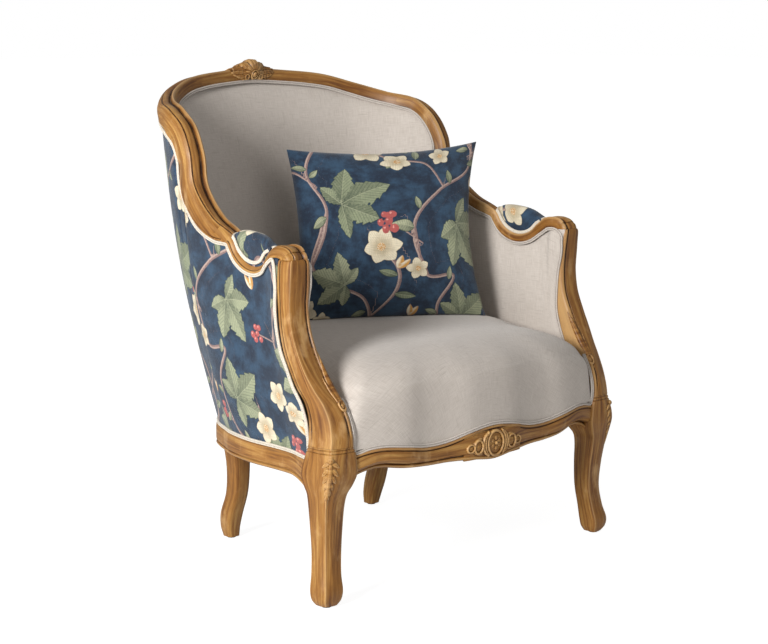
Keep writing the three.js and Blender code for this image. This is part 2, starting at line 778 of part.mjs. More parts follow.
// The inside surface of the tub, from the deck line up to the show wood.
function insideTop(row, depth) {
  const frame = woodFrame(row);
  const size = woodSize(row);
  return offsetPoint(frame, tongueInset / 2 - size.half + depth, -size.inner - fitGap);
}
const insideWeltRoom = 3; // between the inside cover and the welt on it
const weltRoom = 1; // between a panel and the welt on it
const insideWeltStand = weltRadius + insideWeltRoom;
const weltStand = weltRadius + weltRoom;
function insidePoint(row, share, depth) {
  const q = fold(row);
  const onBack = smooth(backPadRow - 1, backPadRow + 3, q);
  const bow = mix(armBow, backBow, onBack);
  const frame = woodFrame(row);
  const flatOut = v3(frame.out.x, frame.out.y, 0).normalize();
  const low = onCurve(deckCurve, row).addScaledVector(flatOut, depth);
  const point = low.lerp(insideTop(row, depth), share);
  return point.addScaledVector(flatOut, -bow * Math.sin(Math.PI * share));
}
function outsidePoint(row, share, depth) {
  const frame = woodFrame(row);
  const size = woodSize(row);
  const flatOut = v3(frame.out.x, frame.out.y, 0).normalize();
  const high = offsetPoint(frame, size.half - tongueInset / 2 - depth, -size.outer - fitGap);
  const low = onCurve(footCurve, row).addScaledVector(flatOut, -depth);
  low.z = railTop + fitGap;
  const bow = mix(panelBow, panelBackBow, smooth(panelBowRow, backPadRow + 1, fold(row)));
  return low.lerp(high, share).addScaledVector(flatOut, bow * Math.sin(Math.PI * share));
}
const grid = (rows, shares, at) => rows.map((row) => shares.map((share) => at(row, share)));

const padTopShare = 0.93; // the pads end this far up the cover, short of the tongue of the show wood
const armShares = [0, 0.35, 0.7, padTopShare];
const firstFabricRow = 0.6; // the post then trims what lies before its back edge
const armRows = armWoodRows.filter((row) => row > firstFabricRow);
const backAllRows = [...wingWoodRows, ...crestWoodRows.slice(1, -1), ...otherSide(wingWoodRows)];
const backShares = [0, 0.25, 0.5, 0.75, padTopShare];
const padRowGap = 0.02; // share of a row left between neighbouring pads

const rightFrame = [armRail, wingRail, armPost, frontLeg, backLeg, sideRail];
const wholeFrame = [
  ...rightFrame,
  ...rightFrame.map(mirrored),
  crestRail,
  frontRail,
  backRail,
];

const weltPoint = (row, side, stand) => {
  const frame = woodFrame(row);
  const size = woodSize(row);
  const lip = side < 0 ? size.inner : size.outer;
  return offsetPoint(frame, side * (size.half - tongueInset / 2 + stand), -lip - weltRadius - fitGap);
};
const weltRows = [...armWoodRows.filter((row) => row > scrollRow), ...wingWoodRows.slice(1)];
const crestWeltRows = crestWoodRows.filter((row) => row > wingEndRow && row < rowLast);
const weltHalfRows = weltRows.concat(crestWeltRows);
const postBoxes = postRings.map((ring) => new THREE.Box3().setFromPoints(ring));
const mirrorPoint = (p) => v3(-p.x, p.y, p.z);
const bothHalves = (half, middle) => half.concat([middle], half.slice().reverse().map(mirrorPoint));
// The linen's front edge on the inner side of the arm post.
const linenEdgeShares = [0.9, 0.9, 0.9, 0.9, 0.95, 0.95, 0.8, 0.5, 0.3, 0.15, 0.1];
const linenEdge = postBoxes.map((b, i) => v3(b.min.x, mix(b.min.y, b.max.y, linenEdgeShares[i]), b.min.z));
const insideWeltHalf = linenEdge
  .slice(4, -1)
  .map((p) => v3(p.x - weltRadius - fitGap, p.y - weltRadius - fitGap, p.z))
  .concat(weltHalfRows.map((row) => weltPoint(row, -1, insideWeltStand)));
const panelFace = (z) => outsidePoint(firstFabricRow, (z - railTop) / (armHeight - railTop), 0).x;
const outsideWeltHalf = postBoxes
  .slice(1, -1)
  .map((b) => v3(panelFace(b.min.z) + weltStand, b.max.y + weltRadius + fitGap, b.min.z))
  .concat(weltHalfRows.map((row) => weltPoint(row, 1, weltStand)));
const outsideWelt = fitTo(
  tube(bothHalves(outsideWeltHalf, weltPoint(rowLast, 1, weltStand)), weltRadius, 5),
  wholeFrame,
);
const lowWeltPoint = (row) => {
  const line = onCurve(footCurve, row);
  const along = slope(footCurve, row);
  const out = v3(along.y, -along.x, 0).normalize();
  line.z = railTop + weltRadius + fitGap;
  return line.addScaledVector(out, weltStand + fitGap);
};
const lowWeltRows = weltHalfRows;
const lowWelt = fitTo(
  tube(bothHalves(lowWeltRows.map(lowWeltPoint), lowWeltPoint(rowLast)), weltRadius, 5),
  [...wholeFrame, outsideWelt],
);

function padSolid(rows, shares, depth, at = insidePoint) {
  const behind = coverThickness + fitGap;
  const front = grid(rows, shares, (row, share) => at(row, share, behind));
  const rear = grid(rows, shares, (row, share) => at(row, share, behind + depth(row, share)));
  return sheetSolid(front, rear);
}
function coverSolid(rows, shares, at = insidePoint) {
  const front = grid(rows, shares, (row, share) => at(row, share, 0));
  const rear = grid(rows, shares, (row, share) => at(row, share, coverThickness));
  return sheetSolid(front, rear);
}
const armPadRows = joinGap(armRows, 0, padRowGap);
function linenFront(z) {
  const above = linenEdge.findIndex((p) => p.z >= z);
  if (above === -1) return linenEdge[linenEdge.length - 1].y;
  if (above === 0) return linenEdge[0].y;
  const [low, high] = [linenEdge[above - 1], linenEdge[above]];
  return mix(low.y, high.y, (z - low.z) / (high.z - low.z));
}
const linenColumnStep = 9; // least run of the cover, for each row, behind its front edge
// The inside surface over the arm, whose first column follows the arm post.
function armInside(row, share, depth) {
  const p = insidePoint(row, share, depth);
  p.y = Math.max(p.y, linenFront(p.z) + (row - armRows[0]) * linenColumnStep);
  return p;
}
const backPadRows = joinGap(backAllRows, padRowGap, padRowGap);
const levelShare = (point, row, z) => {
  const [low, high] = [point(row, 0, 0).z, point(row, 1, 0).z];
  return THREE.MathUtils.clamp((z - low) / (high - low), 0, 1);
};
// Room between the cover and the panel at a height.
function shellRoom(row, z) {
  const inner = insidePoint(row, levelShare(insidePoint, row, z), 0);
  const outer = outsidePoint(row, levelShare(outsidePoint, row, z), 0);
  outer.z = inner.z;
  return inner.distanceTo(outer) - coverThickness - 2 * panelThickness;
}
const roomBehind = (row, share) => shellRoom(row, insidePoint(row, share, 0).z);
const padDepth = (depth) => (row, share) =>
  Math.min(mix(depth, coverThickness, share * share), Math.max(roomBehind(row, share), coverThickness));
const aroundArm = rightFrame;
const insideArmCover = fitTo(coverSolid(armPadRows, armShares.concat(1), armInside), aroundArm);
const insideArmPad = fitTo(padSolid(armPadRows, armShares, padDepth(armPadding), armInside), aroundArm);
const aroundBack = wholeFrame;
const insideBackCover = fitTo(coverSolid(backPadRows, backShares.concat(1)), aroundBack);

const insideWelt = fitTo(
  tube(bothHalves(insideWeltHalf, weltPoint(rowLast, -1, insideWeltStand)), weltRadius, 5),
  [
    ...wholeFrame,
    ...[insideArmCover, insideArmPad].flatMap((piece) => [piece, mirrored(piece)]),
    insideBackCover,
  ],
);

// Back uprights and stay rail, hidden between the inside padding and the outside panel.
const uprightRow = 15.4;
const uprightSetback = 11; // from the outside panel's face to the uprights and the stay rail
function uprightRing(share) {
  const outer = outsidePoint(uprightRow, share, uprightSetback);
  const frame = woodFrame(uprightRow);
  const flatOut = v3(frame.out.x, frame.out.y, 0).normalize();
  const flatAlong = v3(-flatOut.y, flatOut.x, 0);
  const room = shellRoom(uprightRow, outer.z) + 2 * panelThickness - uprightSetback;
  const thick = Math.min(uprightWidth, room);
  const corners = [
    [-1, 0],
    [1, 0],
    [1, 1],
    [-1, 1],
  ];
  return corners.map(([side, depth]) => {
    const p = outer.clone();
    return p.addScaledVector(flatAlong, (side * uprightWidth) / 2).addScaledVector(flatOut, -depth * thick);
  });
}
const aroundUpright = [crestRail, mirrored(crestRail), insideBackCover, mirrored(insideBackCover)];
const upright = fitTo(loft(spread(0, 1, 4).map(uprightRing)), aroundUpright);
const uprights = [upright, mirrored(upright)];
const stayShare = 0.16;
function stayRing(row) {
  const outer = outsidePoint(row, stayShare, uprightSetback);
  const flatOut = v3(woodFrame(row).out.x, woodFrame(row).out.y, 0).normalize();
  const inner = outer.clone().addScaledVector(flatOut, -uprightWidth);
  return [
    v3(outer.x, outer.y, outer.z),
    v3(inner.x, inner.y, outer.z),
    v3(inner.x, inner.y, outer.z + stayHeight),
    v3(outer.x, outer.y, outer.z + stayHeight),
  ];
}
const stayRail = fitTo(loft(spread(uprightRow, 2 * rowLast - uprightRow, 10).map(stayRing)), uprights);
const insideBackPad = fitTo(padSolid(backPadRows, backShares, padDepth(backPadding)), [
  ...aroundBack,
  ...uprights,
  stayRail,
]);

// Outside panels.
const sidePanelRows = [...armRows, ...wingWoodRows.slice(1)];
const panelShares = [0, 0.25, 0.5, 0.75, 1];
const panel = (rows, skipped) => {
  const outer = grid(rows, panelShares, (row, share) => outsidePoint(row, share, 0));
  const inner = grid(rows, panelShares, (row, share) => outsidePoint(row, share, panelThickness));
  return fitTo(sheetSolid(outer, inner), skipped);
};
const sidePanel = panel(joinGap(sidePanelRows, 0, padRowGap), [...rightFrame, crestRail]);
const aroundBackPanel = [crestRail, wingRail, mirrored(wingRail)];
const backPanel = panel(joinGap(crestWoodRows, padRowGap, padRowGap), aroundBackPanel);

// Seat: outline points run along the front, up the right side, round the back and down the left side.
const frontPointShares = [0.04, 0.15, 0.27, 0.38, 0.5, 0.62, 0.73, 0.85, 0.96];
const sideSeatRows = [1, 3, 5.2, 7.4, 9.4, 11, 12.6, 14.2, 15.6, 17.2, 19];
const allSeatRows = sideSeatRows.concat(sideSeatRows.slice(0, -1).reverse().map((row) => 2 * rowLast - row));
const seatSetback = 6;
const seatRim = 8; // how far the cover's rim stands above the front rail's lip
const seatTuckGap = 1; // between the seat and the inside covers
const backLeanShare = 0.55; // the back rises this much slower to the same share of its height
const insideRise = (z) => THREE.MathUtils.clamp((z - deckHeight) / (armHeight - deckHeight), 0, 1);
function seatOutline(level, inset) {
  const front = frontPointShares.map((share) => {
    const p = frontLine.getPoint(share);
    const corner = Math.abs(2 * share - 1) ** 4;
    const base = p.z + seatRim;
    const edge = mix(frontRollHeight, cornerRollHeight, corner);
    return { x: p.x, y: p.y + seatSetback + inset, base, edge };
  });
  const sides = allSeatRows.map((row) => {
    const q = fold(row);
    const edge = mix(cornerRollHeight, sideSeatHeight, smooth(0, 8, q));
    const height = mix(deckHeight, edge, level);
    const reach = q < backPadRow ? 1 : backLeanShare;
    const p = insidePoint(row, insideRise(height) * reach, -seatTuckGap - inset);
    return { x: p.x, y: p.y, base: deckHeight + fitGap, edge };
  });
  return front.concat(sides);
}
// Share of the wall's height, and how far the outline draws in there as a share of the way to the middle.
const wallShares = [
  [0, 0],
  [0.45, 0.015],
  [0.8, 0.004],
  [1, 0.035],
];
// The same draw above the wall, and the share of the rise from the edge to the top.
const crownShares = [
  [0.13, 0.52],
  [0.3, 0.84],
  [0.55, 0.97],
];
const seatCentreShare = -0.25;
const seatCentre = v3(0, seatCentreShare * frontReach, 0);
function seatRings(inset, drop) {
  const outline = seatOutline(1, inset);
  const middle = (o, draw) => v3(mix(o.x, seatCentre.x, draw), mix(o.y, seatCentre.y, draw), 0);
  const walls = wallShares.map(([level, draw]) =>
    seatOutline(level, inset).map((o) => {
      const p = middle(o, draw);
      p.z = mix(o.base, o.edge, level) - (level > 0 ? drop : 0);
      return p;
    }),
  );
  const crown = crownShares.map(([draw, rise]) =>
    outline.map((o) => {
      const p = middle(o, draw);
      p.z = mix(o.edge, seatTop, rise) - drop;
      return p;
    }),
  );
  return walls.concat(crown);
}
function domed(rings, top, bottomFlat) {
  const count = rings[0].length;
  const points = rings.flat();
  const index = [];
  for (let i = 0; i < rings.length - 1; i += 1) {
    for (let j = 0; j < count; j += 1) {
      const k = (j + 1) % count;
      index.push(i * count + j, i * count + k, (i + 1) * count + k);
      index.push(i * count + j, (i + 1) * count + k, (i + 1) * count + j);
    }
  }
  const lastRing = (rings.length - 1) * count;
  points.push(top);
  for (let j = 0; j < count; j += 1) {
    index.push(lastRing + j, lastRing + ((j + 1) % count), points.length - 1);
  }
  if (bottomFlat) capRing(rings[0], 0, index, true);
  return { points, index, count };
}
function seatShell() {
  const outer = domed(seatRings(0, 0), v3(seatCentre.x, seatCentre.y, seatTop), false);
  const inner = domed(
    seatRings(coverThickness, coverThickness),
    v3(seatCentre.x, seatCentre.y, seatTop - coverThickness),
    false,
  );
  const shift = outer.points.length;
  const index = outer.index.slice();
  for (let i = 0; i < inner.index.length; i += 3) {
    index.push(inner.index[i] + shift, inner.index[i + 2] + shift, inner.index[i + 1] + shift);
  }
  for (let j = 0; j < outer.count; j += 1) {
    const k = (j + 1) % outer.count;
    index.push(j, shift + j, shift + k, j, shift + k, k);
  }
  const all = outer.points.concat(inner.points);
  return meshFrom(all.flatMap((p) => [p.x, p.y, p.z]), index);
}
const seatBand = coverThickness + 3 * fitGap;
const springBottom = railTop + fitGap;
const hessianBottom = springBottom + springWire + fitGap;
const foamBottom = hessianBottom + hessianThickness + fitGap;
function seatFoamSolid() {
  const rings = seatRings(seatBand, seatBand);
  rings.unshift(rings[0].map((p) => v3(p.x, p.y, foamBottom)));
  const dome = domed(rings, v3(seatCentre.x, seatCentre.y, seatTop - seatBand), true);
  return meshFrom(dome.points.flatMap((p) => [p.x, p.y, p.z]), dome.index);
}
const seatWeltShares = spread(0.02, 0.5, 12);
const seatWeltRises = [0.22, 0.13, 0.05]; // rings of the post that the welt runs up
const seatWeltHalf = seatWeltRises
  .map((rise) => {
    const ring = postRings[postShares.findIndex((row) => row[0] === rise)];
    const box = new THREE.Box3().setFromPoints(ring);
    return v3(-(box.min.x - weltRadius), box.min.y + weltRadius, box.min.z);
  })
  .concat(
    seatWeltShares.map((share) => {
      const p = frontLine.getPoint(share);
      return v3(p.x, p.y + frontLipThickness / 2, p.z + weltRadius + fitGap);
    }),
  );
const seatWeltPoints = seatWeltHalf.concat(seatWeltHalf.slice(0, -1).reverse().map(mirrorPoint));
const seatWelt = fitTo(tube(seatWeltPoints, weltRadius, 5), [...frontLegs, ...posts, frontRail]);

const insideCovers = [insideArmCover, mirrored(insideArmCover), insideBackCover];
const insidePads = [insideArmPad, mirrored(insideArmPad), insideBackPad];
const seatCover = fitTo(seatShell(), [...wholeFrame, ...insideCovers, insideWelt, seatWelt]);
const seatFoam = fitTo(seatFoamSolid(), [
  ...wholeFrame,
  ...uprights,
  ...insideCovers,
  ...insidePads,
]);

// Springs, hessian and dust cover.
function flatPlate(outline, z, thickness) {
  return loft([outline.map((p) => v3(p.x, p.y, z)), outline.map((p) => v3(p.x, p.y, z + thickness))]);
}
const plateRows = [2, 4, 6, 8, 10, 12, 14, 15, 16, 17.5, 19];
const allPlateRows = plateRows.concat(plateRows.slice(0, -1).reverse().map((row) => 2 * rowLast - row));
function frameOutline(frontBack, inset) {
  const front = frontPointShares.map((share) => {
    const p = frontLine.getPoint(share);
    return v3(p.x, p.y + frontBack, 0);
  });
  const sides = allPlateRows.map((row) => {
    const line = onCurve(footCurve, row);
    const along = slope(footCurve, row);
    return line.addScaledVector(v3(along.y, -along.x, 0).normalize(), railProud - inset);
  });
  return front.concat(sides);
}
const plateHold = 13; // how far the hessian reaches over the rails
const springFrontShare = 0.9;
const springHold = 12; // how far a spring's end stands in front of the tub's outer line
function footAt(x) {
  const rows = spread(wingEndRow, rowLast, 60);
  return rows.map((row) => onCurve(footCurve, row)).find((p) => p.x <= Math.abs(x) + fitGap);
}
const springZ = springBottom + springWire / 2;
function springPoints(x) {
  const front = -springFrontShare * frontReach;
  const back = footAt(x).y - springHold;
  const points = [];
  const steps = springWaves * 4;
  for (let i = 0; i <= steps; i += 1) {
    const swing = Math.sin((i / steps) * springWaves * Math.PI);
    points.push(v3(x + swing * springSwing, mix(front, back, i / steps), springZ));
  }
  return points;
}
const springSpreadShare = 0.42;
const springSpread = springSpreadShare * halfSpan;
const springs = spread(-springSpread, springSpread, springCount - 1).map((x) =>
  tube(springPoints(x), springWire / 2, 4),
);
const hessian = fitTo(
  flatPlate(
    frameOutline(frontLipThickness + fitGap, railThickness - plateHold),
    hessianBottom,
    hessianThickness,
  ),
  [...frontLegs, ...uprights, frontRail],
);
const blockLow = railTop - blockHeight;
const dustCover = fitTo(
  flatPlate(
    frameOutline(frontRailThickness + fitGap, railThickness + fitGap),
    blockLow - fitGap - dustThickness,
    dustThickness,
  ),
  [...frontLegs, ...backLegs, frontRail, backRail, sideRail, mirrored(sideRail)],
);

// Corner blocks with one screw each.
function cornerBlock(x, y, towardX, towardY) {
  const outline = [
    v3(x, y, 0),
    v3(x + towardX * blockReach, y, 0),
    v3(x, y + towardY * blockReach, 0),
  ];
  return flatPlate(outline, blockLow, blockHeight);
}
const screwMiddle = blockLow + blockHeight / 2;
function screwSolid(x, y, towardX, towardY, radiusExtra) {
  const profile = [
    [0, 0],
    [screwHeadRadius + radiusExtra, 0],
    [screwHeadRadius + radiusExtra, screwRadius + radiusExtra],
    [screwRadius + radiusExtra, screwHeadRadius],
    [screwRadius + radiusExtra, screwLength - screwRadius],
    [0, screwLength + radiusExtra],
  ].map(([r, h]) => new THREE.Vector2(r, h));
  const body = new THREE.LatheGeometry(profile, 8);
  body.deleteAttribute("normal");
  body.deleteAttribute("uv");
  const aim = v3(-towardX, -towardY, 0).normalize();
  body.applyQuaternion(new THREE.Quaternion().setFromUnitVectors(v3(0, 1, 0), aim));
  body.translate(x + towardX * (blockReach / 2), y + towardY * (blockReach / 2), screwMiddle);
  const merged = mergeVertices(body, sameSize);
  return meshFrom(Array.from(merged.attributes.position.array), cleanIndex(merged));
}
// Triangles of a mesh without those that collapsed at the axis.
function cleanIndex(geometry) {
  const kept = [];
  const index = geometry.index.array;
  for (let i = 0; i < index.length; i += 3) {
    const [a, b, c] = [index[i], index[i + 1], index[i + 2]];
    if (a !== b && b !== c && a !== c) kept.push(a, b, c);
  }
  return kept;
}
const blockCornerShares = [
  [0.89, -0.835],
  [0.62, 0.44],
];
const [frontCorner, backCorner] = blockCornerShares.map(([x, y]) => v3(x * halfSpan, yAt(y), 0));
const blockNeighbours = [frontLeg, backLeg, sideRail, frontRail, backRail];
const frontBlockRaw = cornerBlock(frontCorner.x, frontCorner.y, -1, 1);
const frontScrew = screwSolid(frontCorner.x, frontCorner.y, -1, 1, 0);
const backBlockRaw = cornerBlock(backCorner.x, backCorner.y, -1, -1);
const backScrew = screwSolid(backCorner.x, backCorner.y, -1, -1, 0);
const frontBlock = fitTo(frontBlockRaw, [...blockNeighbours, frontScrew]);
const backBlock = fitTo(backBlockRaw, [...blockNeighbours, backScrew]);

// Arm pad in the dip of the arm rail, with a welt round its foot.
const padStartRow = 2.4;
const padEndRow = 8.3;
const padEndGap = 0.25; // share of a row between the pad and the welt across its end
const padHalf = armHalfWidth - 2 * weltRadius - 2 * fitGap; // between the welts on both sides
const padSwell = 6; // how far the pad swells out above the welts
const padRise = 0.3; // share of armPadHeight above and below the dip's chord
const padFoot = 0.6; // shares of the pad's height at its foot, side and shoulder
const padSide = 0.4;
const padShoulder = 0.95;
const padTopShares = [0, 0.5, 0.82, 0.97, 1, 0.97, 0.85, 0.6, 0.08];
function armPadRing(i) {
  const share = i / (padTopShares.length - 1);
  const row = mix(padStartRow + padEndGap, padEndRow - padEndGap, share);
  const base = onCurve(topCurve, row);
  const start = onCurve(topCurve, padStartRow);
  const end = onCurve(topCurve, padEndRow);
  const chord = mix(start.z, end.z, share);
  const top = chord + padRise * armPadHeight * padTopShares[i];
  const low = Math.min(base.z, chord) - padRise * armPadHeight;
  const clear = Math.min(base.z + 2 * weltStand + fitGap, mix(base.z, top, padFoot));
  const wide = padHalf + padSwell * padTopShares[i];
  const outline = [
    [-padHalf, low],
    [-padHalf, clear],
    [-wide, mix(clear, top, padSide)],
    [-wide / 2, mix(clear, top, padShoulder)],
    [wide / 2, mix(clear, top, padShoulder)],
    [wide, mix(clear, top, padSide)],
    [padHalf, clear],
    [padHalf, low],
  ];
  return outline.map(([side, z]) => v3(base.x + side, base.y, z));
}
const padWeltSide = (side) =>
  armWoodRows.filter((row) => row > padStartRow && row < padEndRow).map((row) => {
    const frame = woodFrame(row);
    return offsetPoint(frame, side * (armHalfWidth - weltRadius / 2), weltRadius + fitGap);
  });
const armPadWelt = fitTo(
  tube(padWeltSide(1).concat(padWeltSide(-1).reverse()), weltRadius, 5, true),
  [armRail, wingRail, armPost],
);
const armPadSolid = loft(padTopShares.map((_, i) => armPadRing(i)));
const armPad = fitTo(armPadSolid, [armRail, wingRail, armPadWelt, armPost]);

// Scatter cushion, first flat in its own axes, then leant and turned into place.
const cushionSteps = 8;
const cushionSpan = spread(-1, 1, cushionSteps).map((s) => Math.sin((s * Math.PI) / 2));
const cushionPlace = new THREE.Matrix4()
  .makeRotationZ(THREE.MathUtils.degToRad(cushionYaw))
  .multiply(new THREE.Matrix4().makeRotationX(THREE.MathUtils.degToRad(-cushionLean)));
function cushionPoint(u, v, n) {
  const x = (cushionWidth / 2) * u * (1 - cushionPull * (1 - v * v));
  const z = (cushionHeight / 2) * v * (1 - cushionPull * (1 - u * u));
  const p = v3(x, n, z).applyMatrix4(cushionPlace);
  const lift = v3(0, 0, cushionHeight / 2).applyMatrix4(cushionPlace);
  return p.add(lift).add(v3(cushionX, cushionY, cushionSeat));
}
const cushionSeat = seatTop - cushionSink; // height of the cushion's lower edge
const cushionRound = 0.42; // below 1 the cushion stays full towards its edges
const cushionSwell = (u, v) => (cushionThickness / 2) * ((1 - u * u) * (1 - v * v)) ** cushionRound;
function cushionCover(side) {
  const surface = (extra) =>
    cushionSpan.map((u) =>
      cushionSpan.map((v) => cushionPoint(u, v, side * (fitGap / 2 + extra + cushionSwell(u, v)))),
    );
  return fitTo(sheetSolid(surface(fabricThickness), surface(0)), [seatCover]);
}
const frontCushionCover = cushionCover(-1);
const backCushionCover = cushionCover(1);
const fillSpan = cushionSpan.slice(1, -1);
function cushionFilling() {
  const surface = (side) =>
    fillSpan.map((u) => fillSpan.map((v) => cushionPoint(u, v, side * (cushionSwell(u, v) - fitGap))));
  return fitTo(sheetSolid(surface(1), surface(-1)), [seatCover]);
}

// Assembly
const finish = {
  oak: { color: colours.oak, roughness: 0.5, metalness: 0 },
  beech: { color: colours.beech, roughness: 0.75, metalness: 0 },
  linen: { color: colours.linen, roughness: 0.9, metalness: 0 },
  print: { color: colours.print, roughness: 0.85, metalness: 0 },
  piping: { color: colours.piping, roughness: 0.85, metalness: 0 },
  hessian: { color: colours.hessian, roughness: 0.95, metalness: 0 },
  foam: { color: colours.foam, roughness: 0.95, metalness: 0 },
  wadding: { color: colours.wadding, roughness: 0.95, metalness: 0 },
  black: { color: colours.black, roughness: 0.9, metalness: 0 },
  steel: { color: colours.steel, roughness: 0.35, metalness: 1 },
};
const chair = new THREE.Group();
const cushion = new THREE.Group();
function add(group, name, geometry, look) {
  const mesh = new THREE.Mesh(geometry, new THREE.MeshStandardMaterial(finish[look]));
  mesh.name = name;
  group.add(mesh);
}
function addPair(name, geometry, look) {
  add(chair, `${name}_right`, geometry, look);
  add(chair, `${name}_left`, mirrored(geometry), look);
}
add(chair, "crest_rail", crestRail, "oak");
addPair("wing_rail", wingRail, "oak");
addPair("arm_rail", armRail, "oak");
addPair("arm_post", armPost, "oak");
addPair("front_leg", frontLeg, "oak");
addPair("back_leg", backLeg, "oak");
add(chair, "front_seat_rail", frontRail, "oak");
addPair("side_seat_rail", sideRail, "oak");
add(chair, "back_seat_rail", backRail, "oak");
addPair("back_upright", upright, "beech");
add(chair, "back_stay_rail", stayRail, "beech");
addPair("front_corner_block", frontBlock, "beech");
addPair("back_corner_block", backBlock, "beech");
addPair("front_block_screw", frontScrew, "steel");
addPair("back_block_screw", backScrew, "steel");
addPair("front_glide", glide(frontFoot.x, frontFoot.y), "black");
addPair("back_glide", glide(backFoot.x, backFoot.y), "black");
springs.forEach((spring, i) => add(chair, `seat_spring_${i + 1}`, spring, "steel"));
add(chair, "seat_hessian", hessian, "hessian");
add(chair, "seat_foam", seatFoam, "foam");
add(chair, "seat_cover", seatCover, "linen");
add(chair, "seat_welt", seatWelt, "linen");
add(chair, "inside_back_pad", insideBackPad, "wadding");
add(chair, "inside_back_cover", insideBackCover, "linen");
addPair("inside_arm_pad", insideArmPad, "wadding");
addPair("inside_arm_cover", insideArmCover, "linen");
add(chair, "inside_welt", insideWelt, "linen");
addPair("outside_side_panel", sidePanel, "print");
add(chair, "outside_back_panel", backPanel, "print");
add(chair, "outside_top_welt", outsideWelt, "piping");
add(chair, "outside_low_welt", lowWelt, "piping");
addPair("arm_pad", armPad, "print");
addPair("arm_pad_welt", armPadWelt, "piping");
add(chair, "dust_cover", dustCover, "black");
add(cushion, "cushion_front_cover", frontCushionCover, "print");
add(cushion, "cushion_back_cover", backCushionCover, "print");
add(cushion, "cushion_filling", cushionFilling(), "wadding");

// The origin is on the floor, under the middle of the whole chair's box.
const group = new THREE.Group();
group.add(chair, cushion);
const box = new THREE.Box3().setFromObject(group, true);
group.position.set(0, -(box.min.y + box.max.y) / 2, -box.min.z);
group.position.x = -(box.min.x + box.max.x) / 2;
group.updateMatrixWorld(true);

export default group;
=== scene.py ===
import math

import bpy
import numpy as np
from mathutils import Matrix, Vector
from mathutils.bvhtree import BVHTree


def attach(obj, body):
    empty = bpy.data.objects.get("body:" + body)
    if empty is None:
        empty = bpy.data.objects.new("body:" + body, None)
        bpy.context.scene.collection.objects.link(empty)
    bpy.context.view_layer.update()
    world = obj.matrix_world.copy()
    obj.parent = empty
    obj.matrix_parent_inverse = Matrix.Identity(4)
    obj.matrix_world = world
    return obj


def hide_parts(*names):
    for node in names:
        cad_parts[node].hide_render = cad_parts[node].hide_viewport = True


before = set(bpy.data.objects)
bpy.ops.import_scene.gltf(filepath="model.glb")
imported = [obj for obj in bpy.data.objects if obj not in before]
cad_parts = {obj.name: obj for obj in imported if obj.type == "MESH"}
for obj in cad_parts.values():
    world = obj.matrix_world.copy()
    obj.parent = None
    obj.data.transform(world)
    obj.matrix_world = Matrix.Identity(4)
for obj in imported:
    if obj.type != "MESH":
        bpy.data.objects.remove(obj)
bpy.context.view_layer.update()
scene = bpy.context.scene
print("frame loaded:", len(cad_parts), "nodes")


def addNode(tree, kind, inputs=None, **settings):
    # a node with its settings, each input linked to a socket or set to a value
    node = tree.nodes.new(kind)
    for key, value in settings.items():
        setattr(node, key, value)
    for key, value in (inputs or {}).items():
        feed(tree, node.inputs[key], value)
    return node


def feed(tree, socket, value):
    if isinstance(value, bpy.types.NodeSocket):
        tree.links.new(value, socket)
    elif value is not None:
        socket.default_value = value


def newObject(name, data):
    made = bpy.data.objects.new(name, data)
    scene.collection.objects.link(made)
    return made


# Camera, lights and floor

view = {
    "place": (-2.6041, -2.7949, 1.0545),
    "azimuth": -43.66,
    "elevation": 9.04,
    "lens": 89.49,  # on a 36 mm wide sensor
}
studio = {
    "keyPlace": (-3.7, -0.9, 1.7),
    "keySize": 1.3,
    "keyPower": 186,
    "fillPlace": (0.6, -3.6, 2.4),
    "fillSize": 2.5,
    "fillPower": 9,
    "roomLight": 0.345,
    "floorColour": (0.92, 0.915, 0.905, 1),
    "floorGlow": 1.45,
    "floorGlowShare": 0.62,
    "floorReach": 40,
}


def makeCamera():
    data = bpy.data.cameras.new("photoCamera")
    data.lens = view["lens"]
    data.sensor_width = 36
    data.clip_end = 100
    camera = newObject("photoCamera", data)
    azimuth, elevation = math.radians(view["azimuth"]), math.radians(view["elevation"])
    level = math.cos(elevation)
    toward = Vector((-math.sin(azimuth) * level, math.cos(azimuth) * level, -math.sin(elevation)))
    camera.location = view["place"]
    camera.rotation_euler = toward.to_track_quat("-Z", "Y").to_euler()
    scene.camera = camera


def areaLight(name, place, size, power, aim=(0, 0, 0.5)):
    data = bpy.data.lights.new(name, "AREA")
    data.shape = "DISK"
    data.size = size
    data.energy = power
    light = newObject(name, data)
    light.location = place
    light.rotation_euler = (Vector(aim) - Vector(place)).to_track_quat("-Z", "Y").to_euler()


def makeWorld():
    world = bpy.data.worlds.new("room")
    scene.world = world
    world.use_nodes = True
    tree = world.node_tree
    tree.nodes.clear()
    rays = addNode(tree, "ShaderNodeLightPath").outputs
    kinds = {0: rays["Is Camera Ray"], 1: rays["Is Transmission Ray"]}
    seen = addNode(tree, "ShaderNodeMath", kinds, operation="MAXIMUM").outputs[0]
    strength = addNode(tree, "ShaderNodeMapRange", {"Value": seen, "To Min": studio["roomLight"], "To Max": 1})
    back = addNode(tree, "ShaderNodeBackground", {"Color": (1, 1, 1, 1), "Strength": strength.outputs[0]})
    addNode(tree, "ShaderNodeOutputWorld", {"Surface": back.outputs[0]})


